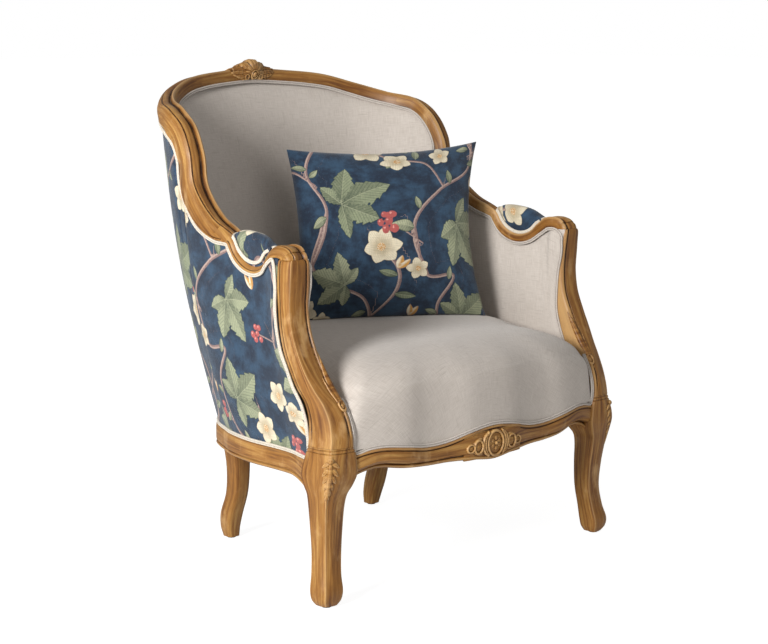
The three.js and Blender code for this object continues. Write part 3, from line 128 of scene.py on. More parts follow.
def makeFloor():
    mesh = bpy.data.meshes.new("floor")
    reach = studio["floorReach"]
    corners = [(-reach, -reach, 0), (reach, -reach, 0), (reach, reach, 0), (-reach, reach, 0)]
    mesh.from_pydata(corners, [], [(0, 1, 2, 3)])
    paint = bpy.data.materials.new("paleFloor")
    paint.use_nodes = True
    tree = paint.node_tree
    tree.nodes.clear()
    matt = addNode(tree, "ShaderNodeBsdfDiffuse", {"Color": studio["floorColour"]}).outputs[0]
    glow = addNode(tree, "ShaderNodeEmission", {"Strength": studio["floorGlow"]}).outputs[0]
    rays = addNode(tree, "ShaderNodeLightPath").outputs
    share = {0: rays["Is Camera Ray"], 1: studio["floorGlowShare"]}
    seen = addNode(tree, "ShaderNodeMath", share, operation="MULTIPLY").outputs[0]
    blend = addNode(tree, "ShaderNodeMixShader", {0: seen, 1: matt, 2: glow})
    addNode(tree, "ShaderNodeOutputMaterial", {"Surface": blend.outputs[0]})
    mesh.materials.append(paint)
    newObject("floor", mesh)


makeCamera()
areaLight("keyLight", studio["keyPlace"], studio["keySize"], studio["keyPower"])
areaLight("fillLight", studio["fillPlace"], studio["fillSize"], studio["fillPower"])
makeWorld()
makeFloor()
scene.view_settings.view_transform = "Standard"
print("camera, lights and floor made")


# Small tools for meshes

def linear(red, green, blue):
    def one(value):
        value /= 255
        return value / 12.92 if value <= 0.04045 else ((value + 0.055) / 1.055) ** 2.4
    return (one(red), one(green), one(blue), 1)


def unit(vectors):
    return vectors / np.maximum(np.linalg.norm(vectors, axis=-1, keepdims=True), 1e-12)


def mix(a, b, share):
    return a + (b - a) * share


def smooth(low, high, value):
    share = np.clip((np.asarray(value, float) - low) / (high - low), 0, 1)
    return share * share * (3 - 2 * share)


def runLength(points):
    steps = np.linalg.norm(np.diff(points, axis=0), axis=-1)
    return np.concatenate([[0], np.cumsum(steps)])


def splineThrough(points):
    # a smooth line through the points, read at fractions of a point's number
    points = np.asarray(points, float)
    held = np.vstack([2 * points[0] - points[1], points, 2 * points[-1] - points[-2]])

    def at(rows):
        rows = np.clip(np.atleast_1d(np.asarray(rows, float)), 0, len(points) - 1)
        first = np.minimum(rows.astype(int), len(points) - 2)
        share = (rows - first)[:, None]
        p0, p1, p2, p3 = (held[first + k] for k in range(4))
        d0, d1, d2 = (np.maximum(((b - a) ** 2).sum(1) ** 0.25, 1e-6)[:, None]
                      for a, b in ((p0, p1), (p1, p2), (p2, p3)))
        t1 = ((p1 - p0) / d0 - (p2 - p0) / (d0 + d1) + (p2 - p1) / d1) * d1
        t2 = ((p2 - p1) / d1 - (p3 - p1) / (d1 + d2) + (p3 - p2) / d2) * d1
        return p1 + t1 * share + (3 * (p2 - p1) - 2 * t1 - t2) * share**2 + (2 * (p1 - p2) + t1 + t2) * share**3

    return at


def fineRows(table, count):
    # the rows of a table, filled in smoothly
    return splineThrough(table)(np.linspace(0, len(table) - 1, count))


def evenLine(points, spacing):
    # the same line with points at an even spacing
    line = splineThrough(points)
    fine = line(np.linspace(0, len(points) - 1, 40 * len(points)))
    run = runLength(fine)
    count = max(int(run[-1] / spacing), 4)
    wanted = np.linspace(0, run[-1], count + 1)
    return np.stack([np.interp(wanted, run, fine[:, k]) for k in range(fine.shape[1])], 1)


def giveValues(mesh, values):
    # a number at each point, for the materials
    for key, numbers in values.items():
        attribute = mesh.attributes.new(key, "FLOAT", "POINT")
        attribute.data.foreach_set("value", np.asarray(numbers, np.float32).ravel())


def meshPiece(name, verts, faces, faceUv, shade=None):
    mesh = bpy.data.meshes.new(name)
    mesh.from_pydata([tuple(v) for v in verts], [], faces)
    mesh.uv_layers.new(name="cloth").data.foreach_set("uv", np.asarray(faceUv, np.float32).ravel())
    if shade is not None:
        giveValues(mesh, {"groove": shade})
    mesh.shade_smooth()
    mesh.set_sharp_from_angle(angle=math.radians(38))
    mesh.update()
    return newObject(name, mesh)


def gridFaces(rows, cols, wrap):
    # the points of each face, and its corners on the grid laid flat
    wide = cols if wrap else cols - 1
    i, j = np.meshgrid(np.arange(rows - 1), np.arange(wide), indexing="ij")

    def around(width, beside):
        return np.stack([i * width + j, i * width + beside, (i + 1) * width + beside, (i + 1) * width + j], -1)

    return around(cols, (j + 1) % cols).reshape(-1, 4), around(wide + 1, j + 1).reshape(-1, 4)


def flatUv(grid, wrap):
    # lengths along and across the grid, in metres
    rows, cols = grid.shape[:2]
    closed = np.concatenate([grid, grid[:, :1]], 1) if wrap else grid
    across = np.concatenate([np.zeros((rows, 1)), np.cumsum(np.linalg.norm(np.diff(closed, axis=1), axis=-1), 1)], 1)
    middle = runLength(grid.mean(1))
    return np.stack([np.broadcast_to(middle[:, None], across.shape), across], -1)


def signedVolume(verts, faces):
    total = 0.0
    for face in faces:
        a = verts[face[0]]
        for k in range(1, len(face) - 1):
            total += np.dot(a, np.cross(verts[face[k]], verts[face[k + 1]]))
    return total


def loftPiece(name, grid, uv=None, shade=None, ends=True, wrap=True):
    # rings of points joined into a closed skin, with flat ends
    rows, cols = grid.shape[:2]
    verts = grid.reshape(-1, 3)
    quads, corners = gridFaces(rows, cols, wrap)
    uv = flatUv(grid, wrap) if uv is None else uv
    faceUv = uv.reshape(-1, 2)[corners.ravel()]
    faces = quads.tolist()
    if ends:
        faces += [list(range(cols - 1, -1, -1)), list(range((rows - 1) * cols, rows * cols))]
        capUv = np.concatenate([uv[0, :cols][::-1], uv[-1, :cols]])
        faceUv = np.concatenate([faceUv, capUv])
    if ends and signedVolume(verts - verts.mean(0), faces) < 0:
        starts = np.cumsum([0] + [len(f) for f in faces])
        faceUv = np.concatenate([faceUv[a:b][::-1] for a, b in zip(starts[:-1], starts[1:])])
        faces = [f[::-1] for f in faces]
    return meshPiece(name, verts, faces, faceUv, shade)


def thicken(piece, thickness):
    wall = piece.modifiers.new("wall", "SOLIDIFY")
    wall.thickness = thickness
    wall.offset = -1


def sheetPiece(name, grid, facing, thickness, uv=None):
    # an open sheet whose face looks along facing, with its thickness behind
    piece = loftPiece(name, grid, uv, ends=False, wrap=False)
    mesh = piece.data
    if mesh.polygons[len(mesh.polygons) // 2].normal.dot(Vector(facing)) < 0:
        mesh.flip_normals()
    thicken(piece, thickness)
    return piece


def bakedMesh(piece):
    # the piece's mesh with its modifiers applied
    return bpy.data.meshes.new_from_object(piece.evaluated_get(bpy.context.evaluated_depsgraph_get()))


def pointsOf(mesh):
    points = np.empty(len(mesh.vertices) * 3)
    mesh.vertices.foreach_get("co", points)
    return points.reshape(-1, 3)


def ironed(heights, rounds):
    # each point of a grid brought to the mean of its neighbours, again and again
    soft = heights.copy()
    for _ in range(rounds):
        beside = soft[..., :-2, 1:-1] + soft[..., 2:, 1:-1] + soft[..., 1:-1, :-2] + soft[..., 1:-1, 2:]
        soft[..., 1:-1, 1:-1] = beside / 4
    return soft


cord = {  # the double cord of a welt, in shares of the welt's radius
    "half": 0.62, "narrow": 0.8, "valley": 0.45,
    "opening": 0.28,  # half turns left open where the two cords meet
}


def cordSection(radius, valley):
    # right cord, the valley between them if wanted, left cord
    half, opening = radius * cord["half"], cord["opening"]
    left = [(-half + half * math.cos(t), half * math.sin(t))
            for t in np.linspace(math.pi * opening, math.pi * (2 - opening), 9)]
    right = [(half + half * math.cos(t), half * math.sin(t))
             for t in np.linspace(math.pi * (opening - 1), math.pi * (1 - opening), 9)]
    return np.array(right + [(0, half * cord["valley"])] * valley + left) * np.array([cord["narrow"], 1.0])


def sweptAlong(path, along, facing, section):
    facing = unit(facing - along * (facing * along).sum(1, keepdims=True))
    side = np.cross(along, facing)
    return path[:, None] + side[:, None] * section[None, :, :1] + facing[:, None] * section[None, :, 1:]


def cordPiece(name, path, facing, radius):
    # two cords side by side, lying on a surface that faces along facing
    section = cordSection(radius, True)
    # the valley between the two cords is painted darker as shade
    shade = np.zeros((len(path), len(section)))
    shade[:, 8:11] = 0.45
    shade[:, 9] = 1
    grid = sweptAlong(path, unit(np.gradient(path, axis=0)), facing, section)
    return loftPiece(name, grid, shade=shade)


def closedCord(name, path, facing, radius):
    # the same two cords round a closed path
    along = unit(np.roll(path, -1, 0) - np.roll(path, 1, 0))
    grid = sweptAlong(path, along, facing, cordSection(radius, False))
    closed = np.concatenate([grid, grid[:1]])
    rows, cols = closed.shape[:2]
    quads, corners = gridFaces(rows, cols, True)
    quads = quads % ((rows - 1) * cols)
    faceUv = flatUv(closed, True).reshape(-1, 2)[corners.ravel()].reshape(-1, 4, 2)
    verts = grid.reshape(-1, 3)
    if signedVolume(verts - verts.mean(0), quads.tolist()) < 0:
        quads, faceUv = quads[:, ::-1], faceUv[:, ::-1]
    return meshPiece(name, verts, quads.tolist(), faceUv.reshape(-1, 2))


def finishPiece(piece, material, slot, *nodes, body="chair"):
    piece.data.materials.clear()
    piece.data.materials.append(material)
    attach(piece, body)
    if nodes:
        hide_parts(*nodes)
    return piece


def ownNode(name):
    # the node that a piece stands for: arm_rail_left for armRailLeft
    return "".join("_" + letter.lower() if letter.isupper() else letter for letter in name)


# Small tools for materials

def newMaterial(name, roughness, **sockets):
    material = bpy.data.materials.new(name)
    material.use_nodes = True
    shader = material.node_tree.nodes["Principled BSDF"]
    for key, value in {"Roughness": roughness, **sockets}.items():
        shader.inputs[key.replace("_", " ")].default_value = value
    return material, material.node_tree, shader


def calc(tree, operation, a, b=None, clamp=False):
    return addNode(tree, "ShaderNodeMath", {0: a, 1: b}, operation=operation, use_clamp=clamp).outputs[0]


def times(tree, a, b):
    return calc(tree, "MULTIPLY", a, b)


def blendColour(tree, share, a, b):
    return addNode(tree, "ShaderNodeMix", {0: share, 6: a, 7: b}, data_type="RGBA").outputs[2]


def washed(tree, under, over, share, strength):
    # over laid thinly on under
    return blendColour(tree, times(tree, share, strength), under, over)


def step(tree, value, low, high):
    # 0 below low, 1 above high, eased between
    inputs = {"Value": value, "From Min": low, "From Max": high}
    return addNode(tree, "ShaderNodeMapRange", inputs, interpolation_type="SMOOTHSTEP").outputs[0]


def surfaceUv(tree):
    return addNode(tree, "ShaderNodeUVMap", uv_map="cloth").outputs[0]


def objectPlace(tree):
    return addNode(tree, "ShaderNodeTexCoord").outputs["Object"]


def attributeOf(tree, name):
    return addNode(tree, "ShaderNodeAttribute", attribute_name=name).outputs["Fac"]


def noiseValue(tree, vector, scale=1.0, detail=4.0, roughness=0.55, distortion=0.0):
    inputs = {"Vector": vector, "Scale": scale, "Detail": detail, "Roughness": roughness, "Distortion": distortion}
    return addNode(tree, "ShaderNodeTexNoise", inputs).outputs[0]


def grained(tree, place, scale, detail, roughness, distortion=0.0, turn=0.0):
    # noise drawn out along one direction, with a scale for each
    inputs = {"Vector": place, "Scale": scale, "Rotation": (0, 0, turn)}
    drawn = addNode(tree, "ShaderNodeMapping", inputs).outputs[0]
    return noiseValue(tree, drawn, 1.0, detail, roughness, distortion)


def finished(tree, shader, colour, height, strength, distance):
    bump = addNode(tree, "ShaderNodeBump", {"Strength": strength, "Distance": distance, "Height": height})
    feed(tree, shader.inputs["Base Color"], colour)
    feed(tree, shader.inputs["Normal"], bump.outputs[0])


# Finishes

oakLook = {
    # the light tone of rubbed wood, also used as painted highlight
    "worn": linear(208, 170, 118),
    "light": linear(176, 133, 72),
    "middle": linear(141, 95, 41),
    "dark": linear(96, 55, 18),
    # the dark tone of painted shade and patina in the hollows
    "groove": linear(46, 22, 7),
    "figure": (7, 150, 1),  # grain figure per metre: along and across
    "broad": (4, 14, 1),
    "pores": (50, 1100, 1),
    "rubbed": (17, 17, 9),
}
linenLook = {
    "pale": linear(198, 189, 180),
    "deep": linear(180, 170, 160),
    "slub": linear(154, 143, 132),
    # the painted shade in the valley between a welt's cords
    "valley": linear(118, 108, 99),
    "pitch": 0.0011,
    "slubs": (22, 420, 1),  # thick threads per metre: along and across
    "crossSlubs": (420, 22, 1),
}
pipingLook = {
    "pale": linear(218, 209, 194),
    "deep": linear(190, 179, 162),
    # the painted shade in the valley between a welt's cords
    "valley": linear(112, 100, 86),
    "twill": (260, 1300, 1),
    "twillTurn": 38,
}
printLook = {
    "night": linear(12, 30, 50),
    "sea": linear(40, 68, 92),
    "leaf": linear(124, 134, 102),
    "leafPale": linear(172, 174, 142),
    "leafDark": linear(52, 64, 46),
    "petal": linear(226, 214, 186),
    "petalShade": linear(170, 152, 118),
    "heart": linear(190, 134, 52),
    "berry": linear(176, 84, 78),
    "berryPale": linear(222, 150, 138),
    "vine": linear(132, 106, 100),
    "vinePale": linear(178, 152, 140),
    "ochre": linear(196, 142, 62),
    "pitch": 0.0009,
}


def makeOak():
    material, tree, shader = newMaterial(
        "honeyOak", 0.45, Coat_Weight=0.08, Coat_Roughness=0.3, Specular_IOR_Level=0.3)
    place = surfaceUv(tree)
    figure = grained(tree, place, oakLook["figure"], 6.0, 0.6, 0.6)
    broad = grained(tree, place, oakLook["broad"], 3.0, 0.5)
    pores = grained(tree, place, oakLook["pores"], 2.0, 0.5)
    rubbed = grained(tree, objectPlace(tree), oakLook["rubbed"], 5.0, 0.62)
    tone = calc(tree, "ADD", times(tree, figure, 0.6), times(tree, broad, 0.4))
    colour = blendColour(tree, step(tree, tone, 0.36, 0.5), oakLook["dark"], oakLook["middle"])
    colour = blendColour(tree, step(tree, tone, 0.47, 0.64), colour, oakLook["light"])
    colour = washed(tree, colour, oakLook["dark"], step(tree, pores, 0.56, 0.68), 0.45)
    colour = washed(tree, colour, oakLook["worn"], step(tree, rubbed, 0.53, 0.7), 0.5)
    colour = washed(tree, colour, oakLook["dark"], step(tree, rubbed, 0.46, 0.3), 0.35)
    # positive groove values paint the grooves and hollows darker as shade and patina, and the faces hidden under the
    # cover fully dark as shade; the noise makes it uneven
    groove = attributeOf(tree, "groove")
    shadeAndPatina = noiseValue(tree, objectPlace(tree), 60.0, 4.0, 0.6)
    depth = calc(tree, "MULTIPLY", step(tree, groove, 0.05, 0.9), calc(tree, "ADD", shadeAndPatina, 0.35), clamp=True)
    colour = blendColour(tree, depth, colour, oakLook["groove"])
    # negative groove values lay the light tone: wear and painted highlight on arrises and carved tops, and painted
    # highlight on the posts' lit inner faces
    colour = washed(tree, colour, oakLook["worn"], step(tree, times(tree, groove, -1.0), 0.05, 0.9), 0.55)
    finished(tree, shader, colour, calc(tree, "ADD", figure, times(tree, pores, -0.5)), 0.25, 0.0006)
    return material


def clothBump(tree, place, pitch):
    # over and under of a plain weave, with uneven threads
    across, up, _ = addNode(tree, "ShaderNodeSeparateXYZ", {0: place}).outputs
    turn = 2 * math.pi / pitch
    warp = calc(tree, "SINE", times(tree, across, turn))
    weft = calc(tree, "SINE", times(tree, up, turn))
    acrossThreads = grained(tree, place, (0.045 / pitch, 1.0 / pitch, 1), 3.0, 0.6)
    alongThreads = grained(tree, place, (1.0 / pitch, 0.045 / pitch, 1), 3.0, 0.6)
    return times(tree, warp, weft), times(tree, calc(tree, "ADD", acrossThreads, alongThreads), 0.5)


def makeLinen():
    material, tree, shader = newMaterial("greigeLinen", 0.92, Sheen_Weight=0.25, Sheen_Roughness=0.5)
    place = surfaceUv(tree)
    woven, threads = clothBump(tree, place, linenLook["pitch"])
    cloud = noiseValue(tree, place, 7.0, 4.0, 0.55)
    colour = blendColour(tree, step(tree, threads, 0.36, 0.62), linenLook["deep"], linenLook["pale"])
    slubs = grained(tree, place, linenLook["slubs"], 2.0, 0.5)
    crossSlubs = grained(tree, place, linenLook["crossSlubs"], 2.0, 0.5)
    mark = calc(tree, "MAXIMUM", step(tree, slubs, 0.62, 0.74), step(tree, crossSlubs, 0.62, 0.74))
    colour = washed(tree, colour, linenLook["slub"], mark, 0.42)
    colour = washed(tree, colour, linenLook["deep"], step(tree, cloud, 0.4, 0.7), 0.22)
    # painted shade in the valley between a welt's two cords
    valley = step(tree, attributeOf(tree, "groove"), 0.2, 0.9)
    colour = washed(tree, colour, linenLook["valley"], valley, 0.75)
    height = calc(tree, "ADD", times(tree, woven, 0.3), calc(tree, "ADD", threads, mark))
    finished(tree, shader, colour, height, 0.35, 0.0006)
    return material


def makePiping():
    material, tree, shader = newMaterial("paleCord", 0.9, Sheen_Weight=0.2)
    place = surfaceUv(tree)
    twill = grained(tree, place, pipingLook["twill"], 2.0, 0.5, turn=math.radians(pipingLook["twillTurn"]))
    cloud = noiseValue(tree, place, 30.0, 3.0, 0.5)
    colour = blendColour(tree, step(tree, twill, 0.35, 0.65), pipingLook["deep"], pipingLook["pale"])
    colour = washed(tree, colour, pipingLook["deep"], step(tree, cloud, 0.45, 0.75), 0.3)
    # painted shade in the valley between a welt's two cords
    valley = step(tree, attributeOf(tree, "groove"), 0.2, 0.9)
    colour = washed(tree, colour, pipingLook["valley"], valley, 0.8)
    finished(tree, shader, colour, twill, 0.4, 0.0005)
    return material


def plainFinish(name, colour, deep, roughness, grain, bump=0.3, **sockets):
    material, tree, shader = newMaterial(name, roughness, **sockets)
    spots = grained(tree, objectPlace(tree), grain, 4.0, 0.6)
    finished(tree, shader, blendColour(tree, step(tree, spots, 0.35, 0.65), colour, deep), spots, bump, 0.0005)
    return material


oak = makeOak()
linen = makeLinen()
piping = makePiping()
woodGrain, threadGrain = (40, 40, 9), (2400, 2400, 2400)
beech = plainFinish("bareBeech", linear(206, 178, 132), linear(178, 146, 100), 0.65, woodGrain)
blockWood = plainFinish("stainedBlock", linear(158, 106, 54), linear(118, 74, 34), 0.55, woodGrain)
wireSteel = plainFinish(
    "wireSteel", linear(150, 152, 156), linear(118, 120, 124), 0.35, (300, 300, 300), Metallic=1.0)
glideBlack = plainFinish("glideBlack", linear(38, 36, 34), linear(26, 25, 24), 0.5, (200, 200, 200))
linenThread = plainFinish(
    "linenThread", linear(176, 165, 152), linear(142, 131, 119), 0.7, threadGrain, 0.5, Sheen_Weight=0.3)
paleThread = plainFinish(
    "paleThread", linear(226, 219, 206), linear(190, 181, 166), 0.7, threadGrain, 0.5, Sheen_Weight=0.3)
blackCloth = plainFinish("blackCloth", linear(34, 33, 32), linear(24, 23, 22), 0.95, (900, 900, 90), 0.4)
print("oak, linen, piping and plain finishes made")


# Lines of the chair, as the construction has them

chair = {
    "crestHeight": 0.948,
    "armHeight": 0.649,
    "halfSpan": 0.395,
    "frontReach": 0.371,
    "backReach": 0.363,
    "shiftY": -0.00233,  # from the construction's datum to the middle of the chair's box
    "railTop": 0.265,
    "railHeight": 0.04,
    "deckHeight": 0.3,
    "kneeTop": 0.296,
    "fitGap": 0.00045,
    "tongueInset": 0.0105,
    "weltRadius": 0.0036,
}
tubShares = np.array([
    [0.944, -0.636, -0.05, 0.962, -0.809, 0.846, -0.809],
    [0.942, -0.582, 0, 0.962, -0.755, 0.846, -0.755],
    [0.934, -0.482, 0, 0.947, -0.674, 0.846, -0.66],
    [0.927, -0.412, -0.057, 0.922, -0.588, 0.843, -0.58],
    [0.919, -0.361, -0.114, 0.906, -0.52, 0.841, -0.512],
    [0.914, -0.296, -0.134, 0.899, -0.445, 0.838, -0.431],
    [0.911, -0.226, -0.114, 0.896, -0.364, 0.835, -0.35],
    [0.909, -0.17, -0.064, 0.896, -0.296, 0.83, -0.27],
    [0.906, -0.127, 0.01, 0.894, -0.229, 0.825, -0.199],
    [0.901, -0.067, 0.05, 0.889, -0.167, 0.818, -0.135],
    [0.894, 0.063, 0.12, 0.868, -0.054, 0.8, -0.054],
    [0.878, 0.229, 0.308, 0.843, 0.041, 0.775, 0.028],
    [0.871, 0.273, 0.515, 0.815, 0.11, 0.739, 0.096],
    [0.859, 0.355, 0.676, 0.785, 0.187, 0.696, 0.165],
    [0.843, 0.485, 0.779, 0.744, 0.27, 0.633, 0.237],
    [0.767, 0.669, 0.823, 0.648, 0.391, 0.532, 0.311],
    [0.638, 0.824, 0.886, 0.494, 0.49, 0.405, 0.369],
    [0.466, 0.917, 0.95, 0.342, 0.562, 0.278, 0.405],
    [0.228, 0.981, 0.983, 0.165, 0.614, 0.139, 0.424],
    [0, 1, 1, 0, 0.634, 0, 0.43],
])
middleRow = len(tubShares) - 1
lastRow = 2 * middleRow
scrollRow, dipEndRow, wingStart, wingEnd = 2, 8, 9.5, 14.6


def reachOf(share):
    return share * np.where(share < 0, chair["frontReach"], chair["backReach"]) + chair["shiftY"]


def mirrorLine(half):
    return np.vstack([half, half[:-1][::-1] * np.array([-1, 1, 1])])


def nearEnd(rows):
    return np.minimum(rows, lastRow - rows)


def tubLine(across, back, height):
    # from the right arm's front, round the back, to the left arm's front
    height = np.broadcast_to(height, len(tubShares))
    half = np.stack([chair["halfSpan"] * tubShares[:, across], reachOf(tubShares[:, back]), height], 1)
    return splineThrough(mirrorLine(half))


topLine = tubLine(0, 1, mix(chair["armHeight"], chair["crestHeight"], tubShares[:, 2]))
footLine = tubLine(3, 4, chair["railTop"])
deckLine = tubLine(5, 6, chair["deckHeight"])


def slope(line, rows):
    return line(np.minimum(rows + 0.05, lastRow)) - line(np.maximum(rows - 0.05, 0))


def woodFrame(rows):
    rows = np.atleast_1d(np.asarray(rows, float))
    point = topLine(rows)
    along = unit(slope(topLine, rows))
    flat = slope(topLine, rows) + slope(footLine, rows)
    flat[:, 2] = 0
    out = unit(np.cross(flat, point - footLine(rows)))
    out = unit(out - along * (out * along).sum(1, keepdims=True))
    return point, along, out, unit(np.cross(out, along))


wood = {
    "armHalf": 0.0195, "scrollHalf": 0.024, "wingHalf": 0.022, "crestHalf": 0.02,
    "armLip": 0.017, "scrollLip": 0.022, "tongue": 0.009, "scrollTongue": 0.002,
    "wingInner": 0.025, "wingOuter": 0.044, "crestInner": 0.026, "crestOuter": 0.034,
}


def woodSize(rows):
    rows = np.atleast_1d(np.asarray(rows, float))
    near = nearEnd(rows)
    onScroll = 1 - smooth(scrollRow, scrollRow + 2, near)
    onWing = smooth(dipEndRow, wingStart + 1.5, near)
    onCrest = smooth(wingEnd - 1.2, wingEnd + 1.2, near)

    def blendOf(arm, scroll, wing, crest):
        return mix(mix(mix(wood[arm], wood[scroll], onScroll), wood[wing], onWing), wood[crest], onCrest)

    return {
        "half": blendOf("armHalf", "scrollHalf", "wingHalf", "crestHalf"),
        "inner": blendOf("armLip", "scrollLip", "wingInner", "crestInner"),
        "outer": blendOf("armLip", "scrollLip", "wingOuter", "crestOuter"),
        "tongue": mix(wood["tongue"], wood["scrollTongue"], onScroll),
    }


def offsetFrom(rows, a, b):
    point, _, out, edge = woodFrame(rows)
    a, b = np.broadcast_to(a, len(point))[:, None], np.broadcast_to(b, len(point))[:, None]
    return point + out * a + edge * b


def woodPiece(name, grid, shade, uv=None):
    finishPiece(loftPiece(name, grid, uv, shade=shade), oak, "oak", ownNode(name))


# Show wood: crest, wings and arms with their moulded section

mouldShares = [  # from the inner face or from the outer face, below the top, and how deep in shade
    ("in", 0.0, "inner", 0.5), ("in", -0.0003, 0.013, 0.0), ("in", 0.0, 0.0075, 0.0),
    ("in", 0.0012, 0.003, -0.5), ("in", 0.004, 0.0006, -0.9), ("in", 0.0072, 0.0012, -0.4),
    ("in", 0.0092, 0.0042, 0.6), ("in", 0.0104, 0.0069, 1.0), ("in", 0.0124, 0.0073, 1.0),
    ("in", 0.0142, 0.0046, 0.5), ("in", 0.0168, 0.0026, -0.1), ("in", 0.0205, 0.0012, -0.2),
    ("out", 0.0158, 0.0012, -0.1), ("out", 0.0146, 0.0034, 0.9), ("out", 0.0132, 0.0037, 0.8),
    ("out", 0.0116, 0.0026, -0.4), ("out", 0.0078, 0.0052, 0.0), ("out", 0.004, 0.0095, -0.3),
    ("out", 0.0008, 0.0155, -0.2), ("out", 0.0, "belly", 0.0), ("out", 0.0, "quirkTop", 0.0),
    ("out", 0.0023, "quirkHigh", 0.9), ("out", 0.0024, "quirkLow", 0.9), ("out", 0.0006, "beadTop", -0.3),
    ("out", 0.0002, "beadLow", -0.3), ("out", 0.0014, "outer", 0.5),
]


def woodGrid(rows):
    size = woodSize(rows)
    half, inner, outer = size["half"], size["inner"], size["outer"]
    heights = {
        "inner": inner, "outer": outer, "belly": np.maximum(outer * 0.56, 0.0165),
        "quirkTop": outer - 0.0062, "quirkHigh": outer - 0.0055, "quirkLow": outer - 0.0046,
        "beadTop": outer - 0.0034, "beadLow": outer - 0.0014,
    }
    heights["quirkTop"] = np.where(outer < 0.024, outer - 0.0005, heights["quirkTop"])
    columns, shade = [], []
    for side, inset, depth, dark in mouldShares:
        a = inset - half if side == "in" else half - inset
        b = heights[depth] if isinstance(depth, str) else np.full(len(half), depth)
        columns.append(offsetFrom(rows, a, -np.minimum(b, inner if side == "in" else outer)))
        shade.append(dark)
    grip = half - chair["tongueInset"]
    foot = np.maximum(inner, outer) + size["tongue"]
    # the tongue's faces, hidden under the cover, are painted fully dark as shade
    for a, b in ((grip, -outer), (grip, -foot), (-grip, -foot), (-grip, -inner)):
        columns.append(offsetFrom(rows, a, b))
        shade.append(1.0)
    grid = np.stack(columns, 1)
    return grid, np.broadcast_to(shade, grid.shape[:2])


def turnedDown(grid, shade, axisZ):
    # rings that carry the section of the arm's front end round a corner and down into the post
    ring = grid[0]
    axisY = ring[:, 1].mean()
    reach = np.maximum(ring[:, 2] - axisZ, 0.0002)
    rings = []
    for turn in np.linspace(math.pi / 2, 0.05, 16):
        rings.append(np.stack([ring[:, 0], axisY - reach * math.sin(turn), axisZ + reach * math.cos(turn)], 1))
    shades = np.broadcast_to(shade[0], (len(rings), len(ring)))
    return np.concatenate([np.array(rings), grid]), np.concatenate([shades, shade])


cornerRow, postTop = 0.5, 0.627
postLow = chair["kneeTop"] + chair["fitGap"]
sides = (("Right", 1), ("Left", -1))


def makeShowWood():
    gap = 0.002
    plans = [  # first and last row of each path, and its steps
        ("crestRail", wingEnd, lastRow - wingEnd, 190),
        ("wingRailRight", wingStart + gap, wingEnd - gap, 70),
        ("wingRailLeft", lastRow - wingEnd + gap, lastRow - wingStart - gap, 70),
        ("armRailRight", cornerRow, wingStart - gap, 110),
        ("armRailLeft", lastRow - wingStart + gap, lastRow - cornerRow, 110),
    ]
    for name, first, last, steps in plans:
        grid, shade = woodGrid(np.linspace(first, last, steps + 1))
        if name == "armRailRight":
            grid, shade = turnedDown(grid, shade, postTop)
        if name == "armRailLeft":
            grid, shade = turnedDown(grid[::-1], shade[::-1], postTop)
        woodPiece(name, grid, shade)


makeShowWood()
print("crest, wings and arms made")


# Arm posts and legs

postShares = np.array([
    [0, 0.843, 0.987, -0.906, -0.733, 1],
    [0.05, 0.843, 0.982, -0.903, -0.733, 1],
    [0.13, 0.846, 0.977, -0.887, -0.728, 1],
    [0.22, 0.851, 0.977, -0.846, -0.701, 0.85],
    [0.31, 0.861, 0.987, -0.782, -0.647, 0.53],
    [0.4, 0.868, 0.995, -0.728, -0.609, 0.3],
    [0.5, 0.871, 0.997, -0.679, -0.566, 0.2],
    [0.62, 0.871, 0.997, -0.636, -0.539, 0.2],
    [0.74, 0.873, 0.997, -0.623, -0.528, 0.2],
    [0.86, 0.873, 1, -0.631, -0.528, 0.2],
    [1, 0.881, 1, -0.642, -0.534, 0.2],
])
legShares = np.array([
    [0, 0.908, 0.98, -0.856, -0.778, 0.4],
    [0.035, 0.895, 0.997, -0.872, -0.766, 0.42],
    [0.09, 0.888, 1.001, -0.879, -0.76, 0.42],
    [0.19, 0.882, 0.985, -0.86, -0.75, 0.42],
    [0.33, 0.87, 0.972, -0.846, -0.737, 0.42],
    [0.5, 0.867, 0.978, -0.853, -0.733, 0.4],
    [0.63, 0.868, 0.988, -0.868, -0.734, 0.42],
    [0.7, 0.862, 0.993, -0.88, -0.73, 0.5],
    [0.76, 0.838, 0.997, -0.895, -0.709, 0.62],
    [0.82, 0.822, 0.997, -0.906, -0.695, 0.62],
    [0.93, 0.827, 0.99, -0.907, -0.714, 0.71],
    [1, 0.843, 0.987, -0.906, -0.733, 1],
])
backLegShares = np.array([
    [0, 0.501, 0.507, 0.68],
    [0.09, 0.508, 0.504, 0.86],
    [0.2, 0.511, 0.485, 0.97],
    [0.36, 0.506, 0.446, 0.95],
    [0.57, 0.514, 0.421, 1],
    [0.77, 0.532, 0.413, 1.12],
    [0.9, 0.551, 0.413, 1.2],
    [1, 0.556, 0.413, 1.2],
])
leg = {
    "bevel": 0.034,
    "corner": 0.0036,
    "postCorner": 0.0065,
    "headHeight": 0.012,
    "headInset": 0.0038,
    "glide": 0.003,
    "backHalf": 0.02,
    "backSides": 32,
    "incisions": (0.2865, 0.2925),  # heights of the two cut lines at the knee
    "incisionDepth": 0.0016,
}


